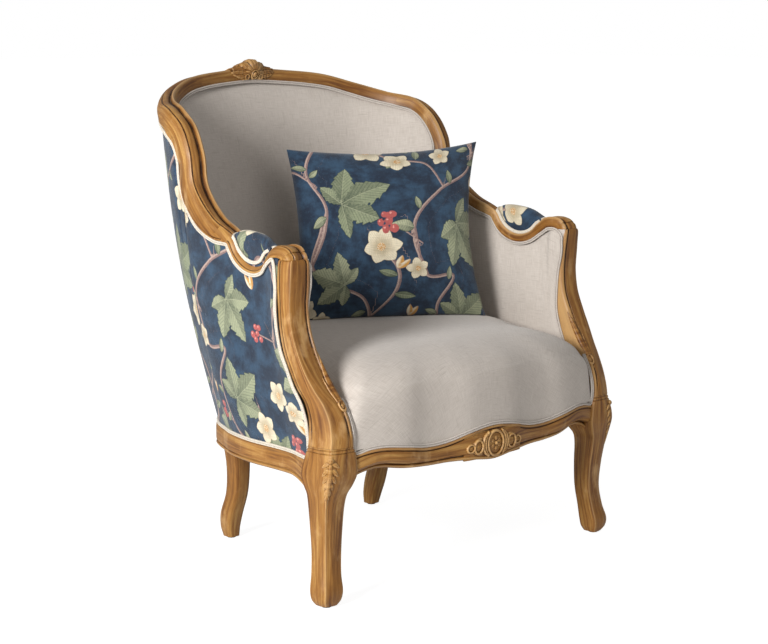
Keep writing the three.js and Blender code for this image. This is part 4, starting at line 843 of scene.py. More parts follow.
def mouldedRing(xIn, xOut, yFront, yBack, z, bevel, mould, corner):
    # one level of a post or leg, seen from above, anticlockwise from the inner front corner
    push = 0.25 * bevel
    wide = xOut - bevel - xIn
    deep = yBack - yFront - bevel
    corner = min(corner, wide / 3, deep / 3)
    # the third number is each point's shade; on a post the inner face is negative, which paints it lighter as a
    # highlight where the key light falls
    points = [
        (xIn, yFront + corner, -0.7 * mould), (xIn + 0.25 * corner, yFront + 0.3 * corner, -0.3),
        (xIn + 0.5 * corner, yFront + 0.08 * corner, -0.6), (xIn + 0.0066, yFront, -0.4 * mould),
        (xIn + 0.0088, yFront + 0.0032 * mould, mould), (xIn + 0.0106, yFront + 0.0034 * mould, mould),
        (xIn + 0.0128, yFront + 0.0004 * mould, 0.2 * mould), (xIn + 0.0128 + 0.35 * (wide - 0.0128), yFront, 0),
        (xIn + 0.0128 + 0.72 * (wide - 0.0128), yFront, 0), (xOut - bevel, yFront + 0.0002, 0),
        (xOut - 0.75 * bevel + 0.42 * push, yFront + 0.25 * bevel - 0.42 * push, 0),
        (xOut - 0.56 * bevel + 0.86 * push, yFront + 0.44 * bevel - 0.86 * push, -0.3),
        (xOut - 0.5 * bevel + push, yFront + 0.5 * bevel - push, -0.7),
        (xOut - 0.44 * bevel + 0.86 * push, yFront + 0.56 * bevel - 0.86 * push, -0.3),
        (xOut - 0.25 * bevel + 0.42 * push, yFront + 0.75 * bevel - 0.42 * push, 0),
        (xOut, yFront + bevel, 0), (xOut, yFront + bevel + 0.4 * deep, 0), (xOut, yBack - 0.0115, 0),
        (xOut - 0.0022 * mould, yBack - 0.0098, mould), (xOut - 0.0022 * mould, yBack - 0.0084, mould),
        (xOut, yBack - 0.0066, -0.3 * mould), (xOut, yBack - 0.6 * corner, -0.2),
        (xOut - 0.35 * corner, yBack - 0.15 * corner, -0.2), (xOut - corner, yBack, 0),
        (mix(xOut, xIn, 0.5), yBack, 0), (xIn + corner, yBack, 0), (xIn + 0.3 * corner, yBack - 0.3 * corner, 0),
        (xIn, yBack - corner, -0.7 * mould), (xIn, mix(yBack, yFront, 0.5), -0.9 * mould),
    ]
    return [(x, y, z) for x, y, _ in points], [shade for _, _, shade in points]


def postGrid(table, low, high, heights, mouldAt):
    rise = (heights - low) / (high - low)
    fine = fineRows(table, 400)
    rows = [np.interp(rise, fine[:, 0], fine[:, k]) for k in range(1, 6)]
    rings, shades = [], []
    for z, xIn, xOut, yFront, yBack, bevel in zip(heights, *rows):
        ring, shade = mouldedRing(
            xIn * chair["halfSpan"], xOut * chair["halfSpan"], reachOf(yFront), reachOf(yBack), z,
            max(bevel * leg["bevel"], mix(0.0065, 0.0135, float(smooth(0.5, 0.61, z)))), mouldAt(z),
            mix(leg["corner"], leg["postCorner"], float(smooth(0.24, 0.36, z))))
        rings.append(ring)
        shades.append(shade)
    return np.array(rings), np.array(shades)


def columnUv(grid):
    # height along, and across the mean girth, so that the grain runs straight down
    uv = flatUv(grid, True)
    uv[..., 1] = uv[..., 1].mean(0)
    uv[..., 0] = np.concatenate([grid, grid[:, :1]], 1)[..., 2]
    return uv


def incised(grid, shade):
    # two fine lines cut round the knee, with a bead between them
    grid, shade = grid.copy(), shade.copy()
    for i, ring in enumerate(grid):
        z = ring[0, 2]
        cut = sum(math.exp(-(((z - at) / 0.0011) ** 2)) for at in leg["incisions"])
        centre = ring.mean(0)
        inward = unit(centre - ring)
        inward[:, 2] = 0
        grid[i] = ring + inward * cut * leg["incisionDepth"]
        # the cut lines are painted darker as shade and patina
        shade[i] = np.clip(shade[i] + cut * 0.5, -1, 1)
    return grid, shade


def headEased(grid):
    # the post's head rounded over a little where the arm's end comes down on it
    drop = np.clip((grid[:, :1, 2:] - postTop) / leg["headHeight"] + 1, 0, 1)
    inset = leg["headInset"] * (1 - np.sqrt(1 - drop * drop))
    inward = grid.mean(1, keepdims=True) - grid
    inward[..., 2] = 0
    return grid + unit(inward) * inset


def makePostsAndLegs():
    heights = np.concatenate([np.linspace(postLow, postTop - 0.016, 66), np.linspace(postTop - 0.014, postTop, 10)])
    grid, shade = postGrid(postShares, postLow, postTop, heights, lambda z: float(smooth(0.305, 0.33, z)))
    post = headEased(grid), shade
    kneeZone = np.linspace(0.28, chair["kneeTop"], 36)
    heights = np.concatenate([np.linspace(leg["glide"], 0.278, 64), kneeZone])
    front = incised(*postGrid(legShares, leg["glide"], chair["kneeTop"], heights, lambda z: 0.0))
    rings = []
    for rise, x, y, width in fineRows(backLegShares, 60):
        turns = np.linspace(0, 2 * math.pi, leg["backSides"] + 1)[:-1] + math.pi / leg["backSides"]
        across, along = (np.sign(wave) * np.abs(wave) ** 0.5 for wave in (np.cos(turns), np.sin(turns)))
        half = leg["backHalf"] * width
        z = mix(leg["glide"], chair["railTop"] - chair["fitGap"], rise)
        rings.append(np.stack([
            x * chair["halfSpan"] + half * across, reachOf(y) + half * along, np.full(len(turns), z)], 1))
    back = np.array(rings), np.zeros((len(rings), leg["backSides"]))
    for name, (grid, shade) in (("armPost", post), ("frontLeg", front), ("backLeg", back)):
        for side, sign in sides:
            woodPiece(name + side, grid * np.array([sign, 1, 1]), shade, columnUv(grid))


makePostsAndLegs()
print("posts and legs made")


# Seat rails

frontRail = {
    "earDrop": 0.026, "earLength": 0.09,
    "top": 0.28, "under": 0.234, "wave": 0.011, "half": 0.86 * 0.395,
    "thickness": 0.03, "lip": 0.009, "seat": 0.262,
}
frontShares = np.array([
    [0, -0.995, -0.995, 1.05, -0.75],
    [0.17, -0.992, -0.99, 0.5, -0.2],
    [0.33, -0.968, -0.965, -0.6, 0.05],
    [0.48, -0.957, -0.952, -0.8, 0.1],
    [0.63, -0.962, -0.933, -0.1, 0.35],
    [0.82, -0.93, -0.885, 0.5, 1.15],
    [1, -0.888, -0.84, -0.3, 1.3],
])


def frontCurve(reach, height, rise):
    right = np.stack([
        frontShares[:, 0] * frontRail["half"],
        reachOf(frontShares[:, reach]),
        frontRail[height] + frontShares[:, rise] * frontRail["wave"],
    ], 1)
    line = splineThrough(np.vstack([right[1:][::-1] * np.array([-1, 1, 1]), right]))
    return lambda shares: line(np.asarray(shares) * (2 * len(frontShares) - 2))


frontTop = frontCurve(1, "top", 3)
plainUnder = frontCurve(2, "under", 4)


def frontUnder(shares):
    # the lower edge, which curves down into the knees at both ends
    line = plainUnder(shares)
    beside = frontRail["half"] - np.abs(line[:, 0])
    line[:, 2] -= frontRail["earDrop"] * np.clip(1 - beside / frontRail["earLength"], 0, 1) ** 2
    return line


def makeFrontRail():
    shares = np.linspace(0, 1, 201)
    top, under = frontTop(shares), frontUnder(shares)
    back = top[:, 1] + frontRail["thickness"]
    lip = top[:, 1] + frontRail["lip"]
    faceZ = mix(under[:, 2], top[:, 2], 0.42)
    seat = np.full(len(shares), frontRail["seat"])
    # the last number of each column is its shade: the moulding's grooves painted darker as shade and patina, its beads
    # lighter as wear and highlight, and the hidden back fully dark as shade
    low = [(0.010, 0, 0.3), (0.0028, 0.0004, 0), (0.0004, 0.0022, -0.5), (0.0, 0.0046, -0.6),
           (0.0012, 0.0066, 0.2), (0.0030, 0.0080, 1), (0.0030, 0.0094, 1), (0.0012, 0.0114, 0.2)]
    high = [(0.0, -0.0105, 0), (0.0002, -0.0086, 0.1), (0.0022, -0.0072, 0.9), (0.0022, -0.0060, 0.9),
            (0.0003, -0.0046, -0.4), (0.0004, -0.0022, -0.5), (0.0022, -0.0005, -0.2), (0.0045, 0, 0)]
    columns = [(back, under[:, 2], 1)]
    columns += [(under[:, 1] + a, under[:, 2] + b, shade) for a, b, shade in low]
    columns += [(mix(under[:, 1], top[:, 1], 0.55) + 0.0003, mix(under[:, 2], faceZ, 0.6), 0), (top[:, 1], faceZ, 0)]
    columns += [(top[:, 1] + a, top[:, 2] + b, shade) for a, b, shade in high]
    columns += [(lip, top[:, 2], 1), (lip, seat, 1), (back, seat, 1)]
    grid = np.stack([np.stack([top[:, 0], y, z], 1) for y, z, _ in columns], 1)
    shade = np.broadcast_to([c[2] for c in columns], grid.shape[:2])
    woodPiece("frontSeatRail", grid, shade)


railDrop = 0.02  # how far the side rails' lower edge sweeps down beside a leg


def levelOut(rows):
    # away from the seat's middle, square to the line at the chair's foot
    along = slope(footLine, rows)
    return unit(np.stack([along[:, 1], -along[:, 0], np.zeros(len(rows))], 1))


def railGrid(rows):
    line = footLine(rows)
    out = levelOut(rows)
    near = nearEnd(rows)
    front = np.clip((3.9 - near) / 2.7, 0, 1) ** 2.2
    behind = np.clip((near - 13.6) / 1.95, 0, 1) ** 2.2 * (near < 15.6)
    drop = railDrop * np.maximum(front, behind)
    height = chair["railHeight"]
    section = [  # outwards, up from the lower edge, how much of the drop, shade
        (-0.02, 0, 1, 1), (0.001, 0, 1, 0.2), (0.0042, 0.0008, 1, -0.2), (0.006, 0.003, 1, -0.5),
        (0.0056, 0.0056, 1, -0.3), (0.0036, 0.0068, 1, 0.45), (0.0036, 0.0081, 1, 0.45), (0.0056, 0.0096, 1, 0),
        (0.006, 0.013, 0.9, 0), (0.006, 0.022, 0.5, 0), (0.006, 0.031, 0.1, 0), (0.0054, 0.0355, 0, -0.3),
        (0.003, 0.039, 0, -0.3), (0.0005, height, 0, 0.5), (-0.02, height, 0, 1),
    ]
    columns = []
    for a, b, share, _ in section:
        column = line + out * a
        column[:, 2] = chair["railTop"] - height + b - drop * share
        columns.append(column)
    grid = np.stack(columns, 1)
    return grid, np.broadcast_to([s[3] for s in section], grid.shape[:2])


def makeSideRails():
    turn = 15.55
    plans = [
        ("sideSeatRailRight", 1.2, turn, 110),
        ("sideSeatRailLeft", lastRow - turn, lastRow - 1.2, 110),
        ("backSeatRail", turn, lastRow - turn, 70),
    ]
    for name, first, last, steps in plans:
        woodPiece(name, *railGrid(np.linspace(first, last, steps + 1)))


makeFrontRail()
makeSideRails()
print("seat rails made")


# Motifs shared by the print and the carving: each is a blade with a rib along its middle

def bladeField(points, base, angle, length, width, teeth=0, blunt=0.75, lean=0.0):
    # how far inside its outline each point is, its place beside the rib and along it
    away = points - np.asarray(base)
    c, s = math.cos(angle), math.sin(angle)
    along = (away[:, 0] * c + away[:, 1] * s) / length
    beside = -away[:, 0] * s + away[:, 1] * c
    beside = beside - lean * length * along * along
    kept = np.clip(along, 0, 1)
    half = width * np.sin(np.pi * kept**blunt) ** 0.85
    if teeth:
        tooth = (kept * teeth) % 1
        half = half * (1 - 0.24 * tooth * smooth(0.0, 0.2, kept))
    outside = np.maximum(np.maximum(-along, along - 1), 0) * length
    edge = half - np.abs(beside) - outside * 1.5
    return edge, beside, along


# Carving: shallow relief laid on the wood, its edge sunk below the surface

carving = {"sunk": 0.0016, "back": 0.005, "ironing": 5}


def ridged(edge, beside, width, height):
    # a rounded petal with a fine groove along its middle
    body = np.clip(edge / width, 0, 1) ** 0.55
    return np.where(edge > 0, height * (body - 0.28 * np.exp(-((beside / 0.0009) ** 2))), -1)


def ring(points, centre, across, up, thick, height):
    away = np.hypot((points[:, 0] - centre[0]) / across, (points[:, 1] - centre[1]) / up)
    line = np.abs(away - 1) * min(across, up)
    return np.where(line < thick, height * np.sqrt(np.clip(1 - (line / thick) ** 2, 0, 1)), -1)


def dome(points, centre, across, up, height):
    away = ((points[:, 0] - centre[0]) / across) ** 2 + ((points[:, 1] - centre[1]) / up) ** 2
    return np.where(away < 1, height * np.sqrt(np.clip(1 - away, 0, 1)), -1)


def blade(points, base, turn, length, width, height, lean=0.0, blunt=0.8, teeth=0):
    edge, beside, _ = bladeField(points, base, math.radians(turn), length, width, teeth, blunt, lean)
    return ridged(edge, beside, width, height)


def reliefPiece(name, surface, acrossList, upList, shapes, swell=None):
    # surface gives points and outward normals on the wood for places across and up
    across, up = np.meshgrid(acrossList, upList, indexing="ij")
    flat = np.stack([across.ravel(), up.ravel()], 1)
    base, normal = surface(flat)
    best = np.full(len(flat), -1.0)
    for shape in shapes:
        best = np.maximum(best, shape(flat))
    covered = best > 0
    under = swell(flat) if swell is not None else 0
    height = np.where(covered, np.maximum(best, 0) + under, np.where(under > 0.0005, under, -carving["sunk"]))
    shape = across.shape
    edge = np.ones(shape, bool)
    edge[1:-1, 1:-1] = False
    height = np.where(edge.ravel(), -carving["sunk"], height)
    raised = height.reshape(shape)
    soft = ironed(raised, carving["ironing"])
    # below its smoothed form the relief is painted darker as shade and patina, above it lighter as wear and highlight;
    # its back is painted fully dark as shade
    shade = np.clip((soft - raised) / 0.0008, -1, 1)
    eased = mix(raised, soft, 0.12)
    top = (base + normal * eased.reshape(-1, 1)).reshape(*shape, 3)
    bottom = (base - normal * carving["back"]).reshape(*shape, 3)
    grid = np.concatenate([top, bottom[:, ::-1]], 1)
    shades = np.concatenate([shade, np.ones(shape)], 1)
    uv = np.concatenate([flat.reshape(*shape, 2), flat.reshape(*shape, 2)[:, ::-1]], 1)
    uv = np.concatenate([uv, uv[:, :1]], 1)
    return loftPiece(name, grid, uv, shade=shades)


def surfaceFrom(place, turn=1):
    # normals by small steps over a function of places across and up
    def surface(flat):
        step = 0.0004
        base = place(flat)
        across = place(flat + np.array([step, 0])) - place(flat - np.array([step, 0]))
        up = place(flat + np.array([0, step])) - place(flat - np.array([0, step]))
        return base, unit(np.cross(across, up)) * turn
    return surface


crestCarving = {
    "half": 0.06,
    "rowsPerMetre": 11.1,
    # over the rail from its inner lip: share of its half width, and height from its top
    "over": [(-1.03, -0.028), (-1.05, -0.008), (-0.8, 0.0008), (0, 0.0018), (0.7, -0.002), (1.02, -0.012),
             (1.04, -0.03)],
    # turn in degrees, length and width of each petal
    "fan": [(0, 0.034, 0.0055), (-24, 0.033, 0.005), (24, 0.033, 0.005), (-50, 0.031, 0.005), (50, 0.031, 0.005),
            (-76, 0.028, 0.0046), (76, 0.028, 0.0046)],
    # turn, length, width, base across and up, and lean of each leaf on one side
    "leaves": [(24, 0.05, 0.0068, 0.014, 0.01, -0.22), (4, 0.048, 0.006, 0.012, 0.006, 0.16),
               (46, 0.034, 0.0062, 0.016, 0.022, -0.2), (-14, 0.03, 0.005, 0.01, 0.004, 0.1)],
}


def shaped(form, *sizes, **more):
    # one part of a carving, drawn on the points it is given later
    return lambda points: form(points, *sizes, **more)


def crestPlace(flat):
    # across along the crest, up from the inner lip over the top to the outer side
    rows = middleRow + flat[:, 0] * crestCarving["rowsPerMetre"]
    path = np.array(crestCarving["over"])
    fine = fineRows(path, 60)
    run = runLength(fine * np.array([0.02, 1]))
    a = np.interp(flat[:, 1], run, fine[:, 0]) * woodSize(rows)["half"]
    b = np.interp(flat[:, 1], run, fine[:, 1])
    return offsetFrom(rows, a, b)


def makeCrestCarving():
    shapes = [shaped(blade, (0, 0.012), 90 + turn, length, width, 0.0062, blunt=1.2)
              for turn, length, width in crestCarving["fan"]]
    for side in (1, -1):
        for turn, length, width, x, y, lean in crestCarving["leaves"]:
            turn = turn if side > 0 else 180 - turn
            shapes.append(shaped(blade, (side * x, y), turn, length, width, 0.0056, side * lean, 0.8, 5))
        shapes.append(shaped(ring, (side * 0.02, 0.0075), 0.0052, 0.0048, 0.0022, 0.0052))
    shapes.append(shaped(dome, (0, 0.011), 0.0068, 0.0062, 0.0085))
    shapes.append(shaped(ring, (0, 0.011), 0.0088, 0.0082, 0.0016, 0.006))

    def swell(p):
        rise = np.sin(np.pi * np.clip((p[:, 1] - 0.004) / 0.062, 0, 1)) ** 0.8
        return np.where(np.abs(p[:, 0]) < 0.054, 0.0125 * np.exp(-((p[:, 0] / 0.03) ** 2)) * rise, 0)

    spread = np.linspace(-crestCarving["half"], crestCarving["half"], 170)
    heights = np.linspace(0.0015, 0.068, 100)
    piece = reliefPiece("crestCarving", surfaceFrom(crestPlace, -1), spread, heights, shapes, swell)
    finishPiece(piece, oak, "oak")


railCarving = {"half": 0.078, "middle": 0.2575, "low": 0.2315, "high": 0.2835}


def frontPlace(flat):
    # across along the front rail, up its face
    fine = np.linspace(0, 1, 401)
    line = frontTop(fine)
    low = frontUnder(fine)
    share = np.interp(flat[:, 0], line[:, 0], fine)
    top = np.stack([np.interp(share, fine, line[:, k]) for k in range(3)], 1)
    under = np.stack([np.interp(share, fine, low[:, k]) for k in range(3)], 1)
    rise = (flat[:, 1] - under[:, 2]) / (top[:, 2] - under[:, 2])
    y = mix(under[:, 1], top[:, 1], smooth(-0.1, 0.55, rise)) - 0.0002
    return np.stack([flat[:, 0], y, flat[:, 1]], 1)


def makeRailCarving():
    middle = railCarving["middle"]
    shapes = [
        shaped(ring, (0, middle), 0.021, 0.0235, 0.0026, 0.0048), shaped(dome, (0, middle), 0.018, 0.0205, 0.0026),
        shaped(dome, (0, middle), 0.0044, 0.0046, 0.007),
    ]
    shapes += [shaped(blade, (0, middle), 60 * k + 30, 0.0165, 0.0046, 0.0056, blunt=1.2) for k in range(6)]

    def outerArc(points, side, centre, up):
        # a ring of which only the side away from the middle is kept
        arc = ring(points, (centre - side * 0.012, middle), 0.0125, up, 0.0021, 0.0046)
        return np.where((points[:, 0] - centre + side * 0.009) * side > 0, arc, -1)

    for side in (1, -1):
        shapes += [
            shaped(outerArc, side, side * 0.0272, 0.022), shaped(outerArc, side, side * 0.0328, 0.019),
            shaped(ring, (side * 0.0455, middle - 0.002), 0.0105, 0.0125, 0.0021, 0.0046),
            shaped(dome, (side * 0.0455, middle - 0.002), 0.0075, 0.009, 0.0034),
            shaped(ring, (side * 0.064, middle - 0.003), 0.0085, 0.0072, 0.0019, 0.004),
            shaped(dome, (side * 0.064, middle - 0.003), 0.0058, 0.0046, 0.0026),
        ]
        turn = 0 if side > 0 else 180
        for base, lean, width, height, bend in ((0.013, -12, 0.0042, 0.0042, -0.1), (-0.017, 8, 0.0036, 0.004, 0.1)):
            place = (side * 0.034, middle + base)
            shapes.append(shaped(blade, place, turn + lean * side, 0.026, width, height, bend * side))
    spread = np.linspace(-railCarving["half"], railCarving["half"], 210)
    heights = np.linspace(railCarving["low"], railCarving["high"], 76)
    finishPiece(reliefPiece("frontRailCarving", surfaceFrom(frontPlace), spread, heights, shapes), oak, "oak")


def makePair(name, surface, spread, heights, shapes):
    # the same relief on both sides of the chair
    for side, sign in sides:
        mirror = np.array([sign, 1, 1])
        piece = reliefPiece(name + side, lambda flat: tuple(v * mirror for v in surface(flat)), spread, heights, shapes)
        finishPiece(piece, oak, "oak")


kneeCarving = {
    "top": 0.279, "length": 0.1, "half": 0.021,
    # how far down each pair of husks starts, its turn in degrees, its length
    "husks": [(0.006, 20, 0.021), (0.016, 34, 0.023), (0.028, 42, 0.022), (0.041, 52, 0.019), (0.054, 60, 0.016),
              (0.066, 66, 0.012)],
}


def kneePlace(flat):
    # across from the arris over both faces, up along the leg
    rise = (flat[:, 1] - leg["glide"]) / (chair["kneeTop"] - leg["glide"])
    fine = fineRows(legShares, 400)
    xOut, yFront, bevel = (np.interp(rise, fine[:, 0], fine[:, k]) for k in (2, 3, 5))
    xOut = xOut * chair["halfSpan"]
    yFront = reachOf(yFront)
    bevel = np.maximum(bevel * leg["bevel"], 0.0065)
    push = 0.25 * bevel
    tip = np.stack([xOut - 0.5 * bevel + push, yFront + 0.5 * bevel - push], 1)
    toFront = np.stack([xOut - bevel, yFront], 1) - tip
    toSide = np.stack([xOut, yFront + bevel], 1) - tip
    reach = np.abs(flat[:, 0])
    first = np.where(flat[:, :1] < 0, toFront, toSide)
    wide = np.linalg.norm(first, axis=1)
    along = first / wide[:, None]
    beyond = np.maximum(reach - wide, 0)
    turn = np.where(flat[:, :1] < 0, np.array([[-1.0, 0.0]]), np.array([[0.0, 1.0]]))
    place = tip + along * np.minimum(reach, wide)[:, None] + turn * beyond[:, None]
    return np.column_stack([place, flat[:, 1]])


def makeKneeCarvings():
    top = kneeCarving["top"]
    shapes = [shaped(blade, (0, top - 0.004), -90, 0.094, 0.0062, 0.0046, blunt=0.62)]
    for drop, turn, length in kneeCarving["husks"]:
        for side in (1, -1):
            out = -90 + side * (90 - turn)
            shapes.append(shaped(blade, (0, top - drop), out, length, length * 0.2, 0.0038, -0.18 * side, 0.85))
    shapes.append(shaped(dome, (0, top - 0.003), 0.006, 0.0055, 0.0052))
    half, length = kneeCarving["half"], kneeCarving["length"]
    spread = np.linspace(-half, half, 70)
    heights = np.linspace(top - length, top + 0.004, 150)
    surface = surfaceFrom(kneePlace)

    def softened(flat):
        base, normal = surface(flat)
        corner = unit(np.array([[1.0, -1.0, 0.0]]))
        share = smooth(0.006, 0, np.abs(flat[:, 0]))[:, None]
        front, beside = unit(np.array([[0.4, -1.0, 0.0]])), unit(np.array([[1.0, -0.4, 0.0]]))
        sideways = np.where(flat[:, :1] < 0, front, beside)
        return base, unit(mix(sideways, corner, share))

    makePair("kneeCarving", softened, spread, heights, shapes)


postScroll = {"foot": 0.369, "low": 0.352, "high": 0.468, "inner": -0.0085, "outer": 0.0165}


def scrollPlace(flat):
    # across round the post's inner front corner, up along the post
    fine = fineRows(postShares, 400)
    rise = (flat[:, 1] - postLow) / (postTop - postLow)
    xIn = np.interp(rise, fine[:, 0], fine[:, 1]) * chair["halfSpan"]
    yFront = reachOf(np.interp(rise, fine[:, 0], fine[:, 3]))
    radius = leg["postCorner"] * 0.8
    quarter = radius * math.pi / 2
    turn = np.clip((flat[:, 0] + quarter / 2) / radius, 0, math.pi / 2)
    x = xIn + radius * (1 - np.cos(turn)) + np.maximum(flat[:, 0] - quarter / 2, 0)
    y = yFront + radius * (1 - np.sin(turn)) + np.maximum(-flat[:, 0] - quarter / 2, 0)
    return np.column_stack([x, y, flat[:, 1]])


def makePostScrolls():
    # where the post's moulding ends: a long leaf that rolls up in a small scroll
    foot = postScroll["foot"]
    shapes = [
        shaped(blade, (0.0045, foot), 93, 0.096, 0.0078, 0.0036, 0.03, 0.72),
        shaped(blade, (0.0105, foot), 88, 0.05, 0.0034, 0.003, -0.05, 0.8),
        shaped(ring, (0.0052, foot), 0.0068, 0.0082, 0.0019, 0.003),
        shaped(dome, (0.0048, foot - 0.001), 0.0036, 0.0044, 0.0028),
    ]
    spread = np.linspace(postScroll["inner"], postScroll["outer"], 60)
    heights = np.linspace(postScroll["low"], postScroll["high"], 170)
    makePair("postScroll", surfaceFrom(scrollPlace), spread, heights, shapes)


makeCrestCarving()
makeRailCarving()
makeKneeCarvings()
makePostScrolls()
print("carvings made")


# Surfaces of the upholstery

cover = {
    "armBow": 0.005, "backBow": 0.014, "backPadRow": 10.5,
    "panelBow": 0.008, "panelBackBow": 0.018, "panelBowRow": 6,
    "linenColumnStep": 0.009, "firstRow": 0.6,
}
linenEdgeShares = [0.9, 0.9, 0.9, 0.9, 0.95, 0.95, 0.8, 0.5, 0.3, 0.15, 0.1]
postHeights = mix(postLow, postTop, postShares[:, 0])
postInner = postShares[:, 1] * chair["halfSpan"]
postFront, postBack = reachOf(postShares[:, 3]), reachOf(postShares[:, 4])
linenEdge = np.stack([postInner, mix(postFront, postBack, np.array(linenEdgeShares)), postHeights], 1)


def flatOut(rows):
    out = woodFrame(rows)[2].copy()
    out[:, 2] = 0
    return unit(out)


def insidePoint(rows, share, depth=0.0):
    size = woodSize(rows)
    near = nearEnd(rows)
    onBack = smooth(cover["backPadRow"] - 1, cover["backPadRow"] + 3, near)
    out = flatOut(rows)
    low = deckLine(rows) + out * depth
    high = offsetFrom(rows, chair["tongueInset"] / 2 - size["half"] + depth, -size["inner"] - chair["fitGap"])
    bow = mix(cover["armBow"], cover["backBow"], onBack) * np.sin(np.pi * share)
    return mix(low, high, np.broadcast_to(share, len(rows))[:, None]) - out * bow[:, None]


def outsidePoint(rows, share):
    size = woodSize(rows)
    out = flatOut(rows)
    high = offsetFrom(rows, size["half"] - chair["tongueInset"] / 2, -size["outer"] - chair["fitGap"])
    low = footLine(rows)
    low[:, 2] = chair["railTop"] + chair["fitGap"]
    onBack = smooth(cover["panelBowRow"], cover["backPadRow"] + 1, nearEnd(rows))
    bow = mix(cover["panelBow"], cover["panelBackBow"], onBack) * math.sin(math.pi * share)
    return mix(low, high, share) + out * bow[:, None]


def besidePost(grid, rows, firstRow):
    # columns next to the post start at its edge and lie on its inner face
    near = nearEnd(rows)[:, None]
    edge = np.interp(grid[..., 2], postHeights, linenEdge[:, 1]) + (near - firstRow) * cover["linenColumnStep"]
    grid = grid.copy()
    held = mix(edge, np.maximum(grid[..., 1], edge), smooth(firstRow, 3, near))
    grid[..., 1] = np.where(near < 9, held, grid[..., 1])
    behind = grid[..., 1] - np.interp(grid[..., 2], postHeights, postBack)
    limit = np.interp(grid[..., 2], postHeights, postInner) - 0.0026 + np.maximum(behind, 0) * 0.6
    side = np.sign(grid[..., 0])
    grid[..., 0] = np.where(near < 6, side * np.minimum(np.abs(grid[..., 0]), limit), grid[..., 0])
    return grid


def clothWaves(grid, facing, height, scale, seed):
    # low uneven waves, as in cloth drawn over padding
    rng = np.random.default_rng(seed)
    uv = flatUv(grid, False)
    total = np.zeros(grid.shape[:2])
    for _ in range(14):
        turn, phase = rng.uniform(0, 2 * math.pi, 2)
        wave = scale * rng.uniform(0.6, 1.8)
        total += np.sin((uv[..., 0] * math.cos(turn) + uv[..., 1] * math.sin(turn)) * 2 * math.pi / wave + phase)
    return grid + facing * (total / 14 * height)[..., None]


def makeInside():
    rows = np.linspace(cover["firstRow"] + 0.08, lastRow - cover["firstRow"] - 0.08, 330)
    shares = np.concatenate([np.linspace(0, 0.92, 44), np.linspace(0.94, 1, 8)])
    grid = np.stack([insidePoint(rows, share) for share in shares], 1)
    grid = besidePost(grid, rows, cover["firstRow"] + 0.08)
    out = flatOut(rows)[:, None]
    tuck = 0.004 * smooth(0.955, 1, shares)[None, :, None]
    fade = smooth(0, 0.12, shares) * smooth(1, 0.9, shares)
    waved = clothWaves(grid, -out, 0.0016, 0.16, 3)
    grid = mix(grid, waved, fade[None, :, None]) + out * tuck
    piece = sheetPiece("insideUpholstery", grid, (0, -1, 0), 0.004)
    arms = [f"inside_arm_{layer}_{side}" for layer in ("cover", "pad") for side in ("right", "left")]
    finishPiece(piece, linen, "linen", "inside_back_cover", "inside_back_pad", *arms)


makeInside()
print("inside upholstery made")


# Welts

def weltRows():
    arm = np.linspace(0, wingStart, 15)
    wing = np.linspace(wingStart, wingEnd, 7)[1:]
    crest = np.linspace(wingEnd, lastRow - wingEnd, 13)
    return np.concatenate([arm[arm > scrollRow], wing, crest[(crest > wingEnd) & (crest < middleRow)], [middleRow]])


def weltOnWood(rows, side, stand):
    size = woodSize(rows)
    lip = size["inner"] if side < 0 else size["outer"]
    a = side * (size["half"] - chair["tongueInset"] / 2 + stand)
    return offsetFrom(rows, a, -lip - chair["weltRadius"] * 0.85), woodFrame(rows)[2] * side


def weltPiece(name, points, normals, material, slot, spacing=0.004):
    both = evenLine(np.hstack([mirrorLine(points), mirrorLine(normals) * 0.05]), spacing)
    facing = unit(both[:, 3:])
    piece = cordPiece(name, both[:, :3], facing, chair["weltRadius"])
    stitchLines[slot].append(both[:, :3] + facing * stitch["rise"])
    finishPiece(piece, material, slot, ownNode(name))


stitch = {"spacing": 0.0046, "length": 0.0034, "thickness": 0.00042, "rise": 0.00175}


def stitchTree(name, material):
    tree = bpy.data.node_groups.new(name, "GeometryNodeTree")
    face = tree.interface
    face.new_socket("Geometry", in_out="INPUT", socket_type="NodeSocketGeometry")
    for label in ("Spacing", "Length", "Thickness"):
        socket = face.new_socket(label, in_out="INPUT", socket_type="NodeSocketFloat")
        socket.default_value = stitch[label.lower()]
    face.new_socket("Geometry", in_out="OUTPUT", socket_type="NodeSocketGeometry")

    def add(kind, inputs=None, **settings):
        return addNode(tree, kind, inputs, **settings).outputs

    given = add("NodeGroupInput")
    path = add("GeometryNodeMeshToCurve", {"Mesh": given["Geometry"]})
    even = add("GeometryNodeResampleCurve", {"Curve": path["Curve"], "Length": given["Spacing"]}, mode="LENGTH")
    thread = add("GeometryNodeMeshUVSphere", {"Segments": 6, "Rings": 4, "Radius": 1.0})
    half = add("ShaderNodeMath", {0: given["Length"], 1: 0.5}, operation="MULTIPLY")
    size = add("ShaderNodeCombineXYZ", {"X": given["Thickness"], "Y": given["Thickness"], "Z": half[0]})
    shape = add("GeometryNodeTransform", {"Geometry": thread["Mesh"], "Scale": size[0]})
    turned = add("FunctionNodeAlignRotationToVector", {"Vector": add("GeometryNodeInputTangent")[0]}, axis="Z")
    places = {"Points": even["Curve"], "Instance": shape["Geometry"], "Rotation": turned[0]}
    real = add("GeometryNodeRealizeInstances", {"Geometry": add("GeometryNodeInstanceOnPoints", places)["Instances"]})
    finish = add("GeometryNodeSetMaterial", {"Geometry": real["Geometry"], "Material": material})
    add("NodeGroupOutput", {"Geometry": finish["Geometry"]})
    return tree


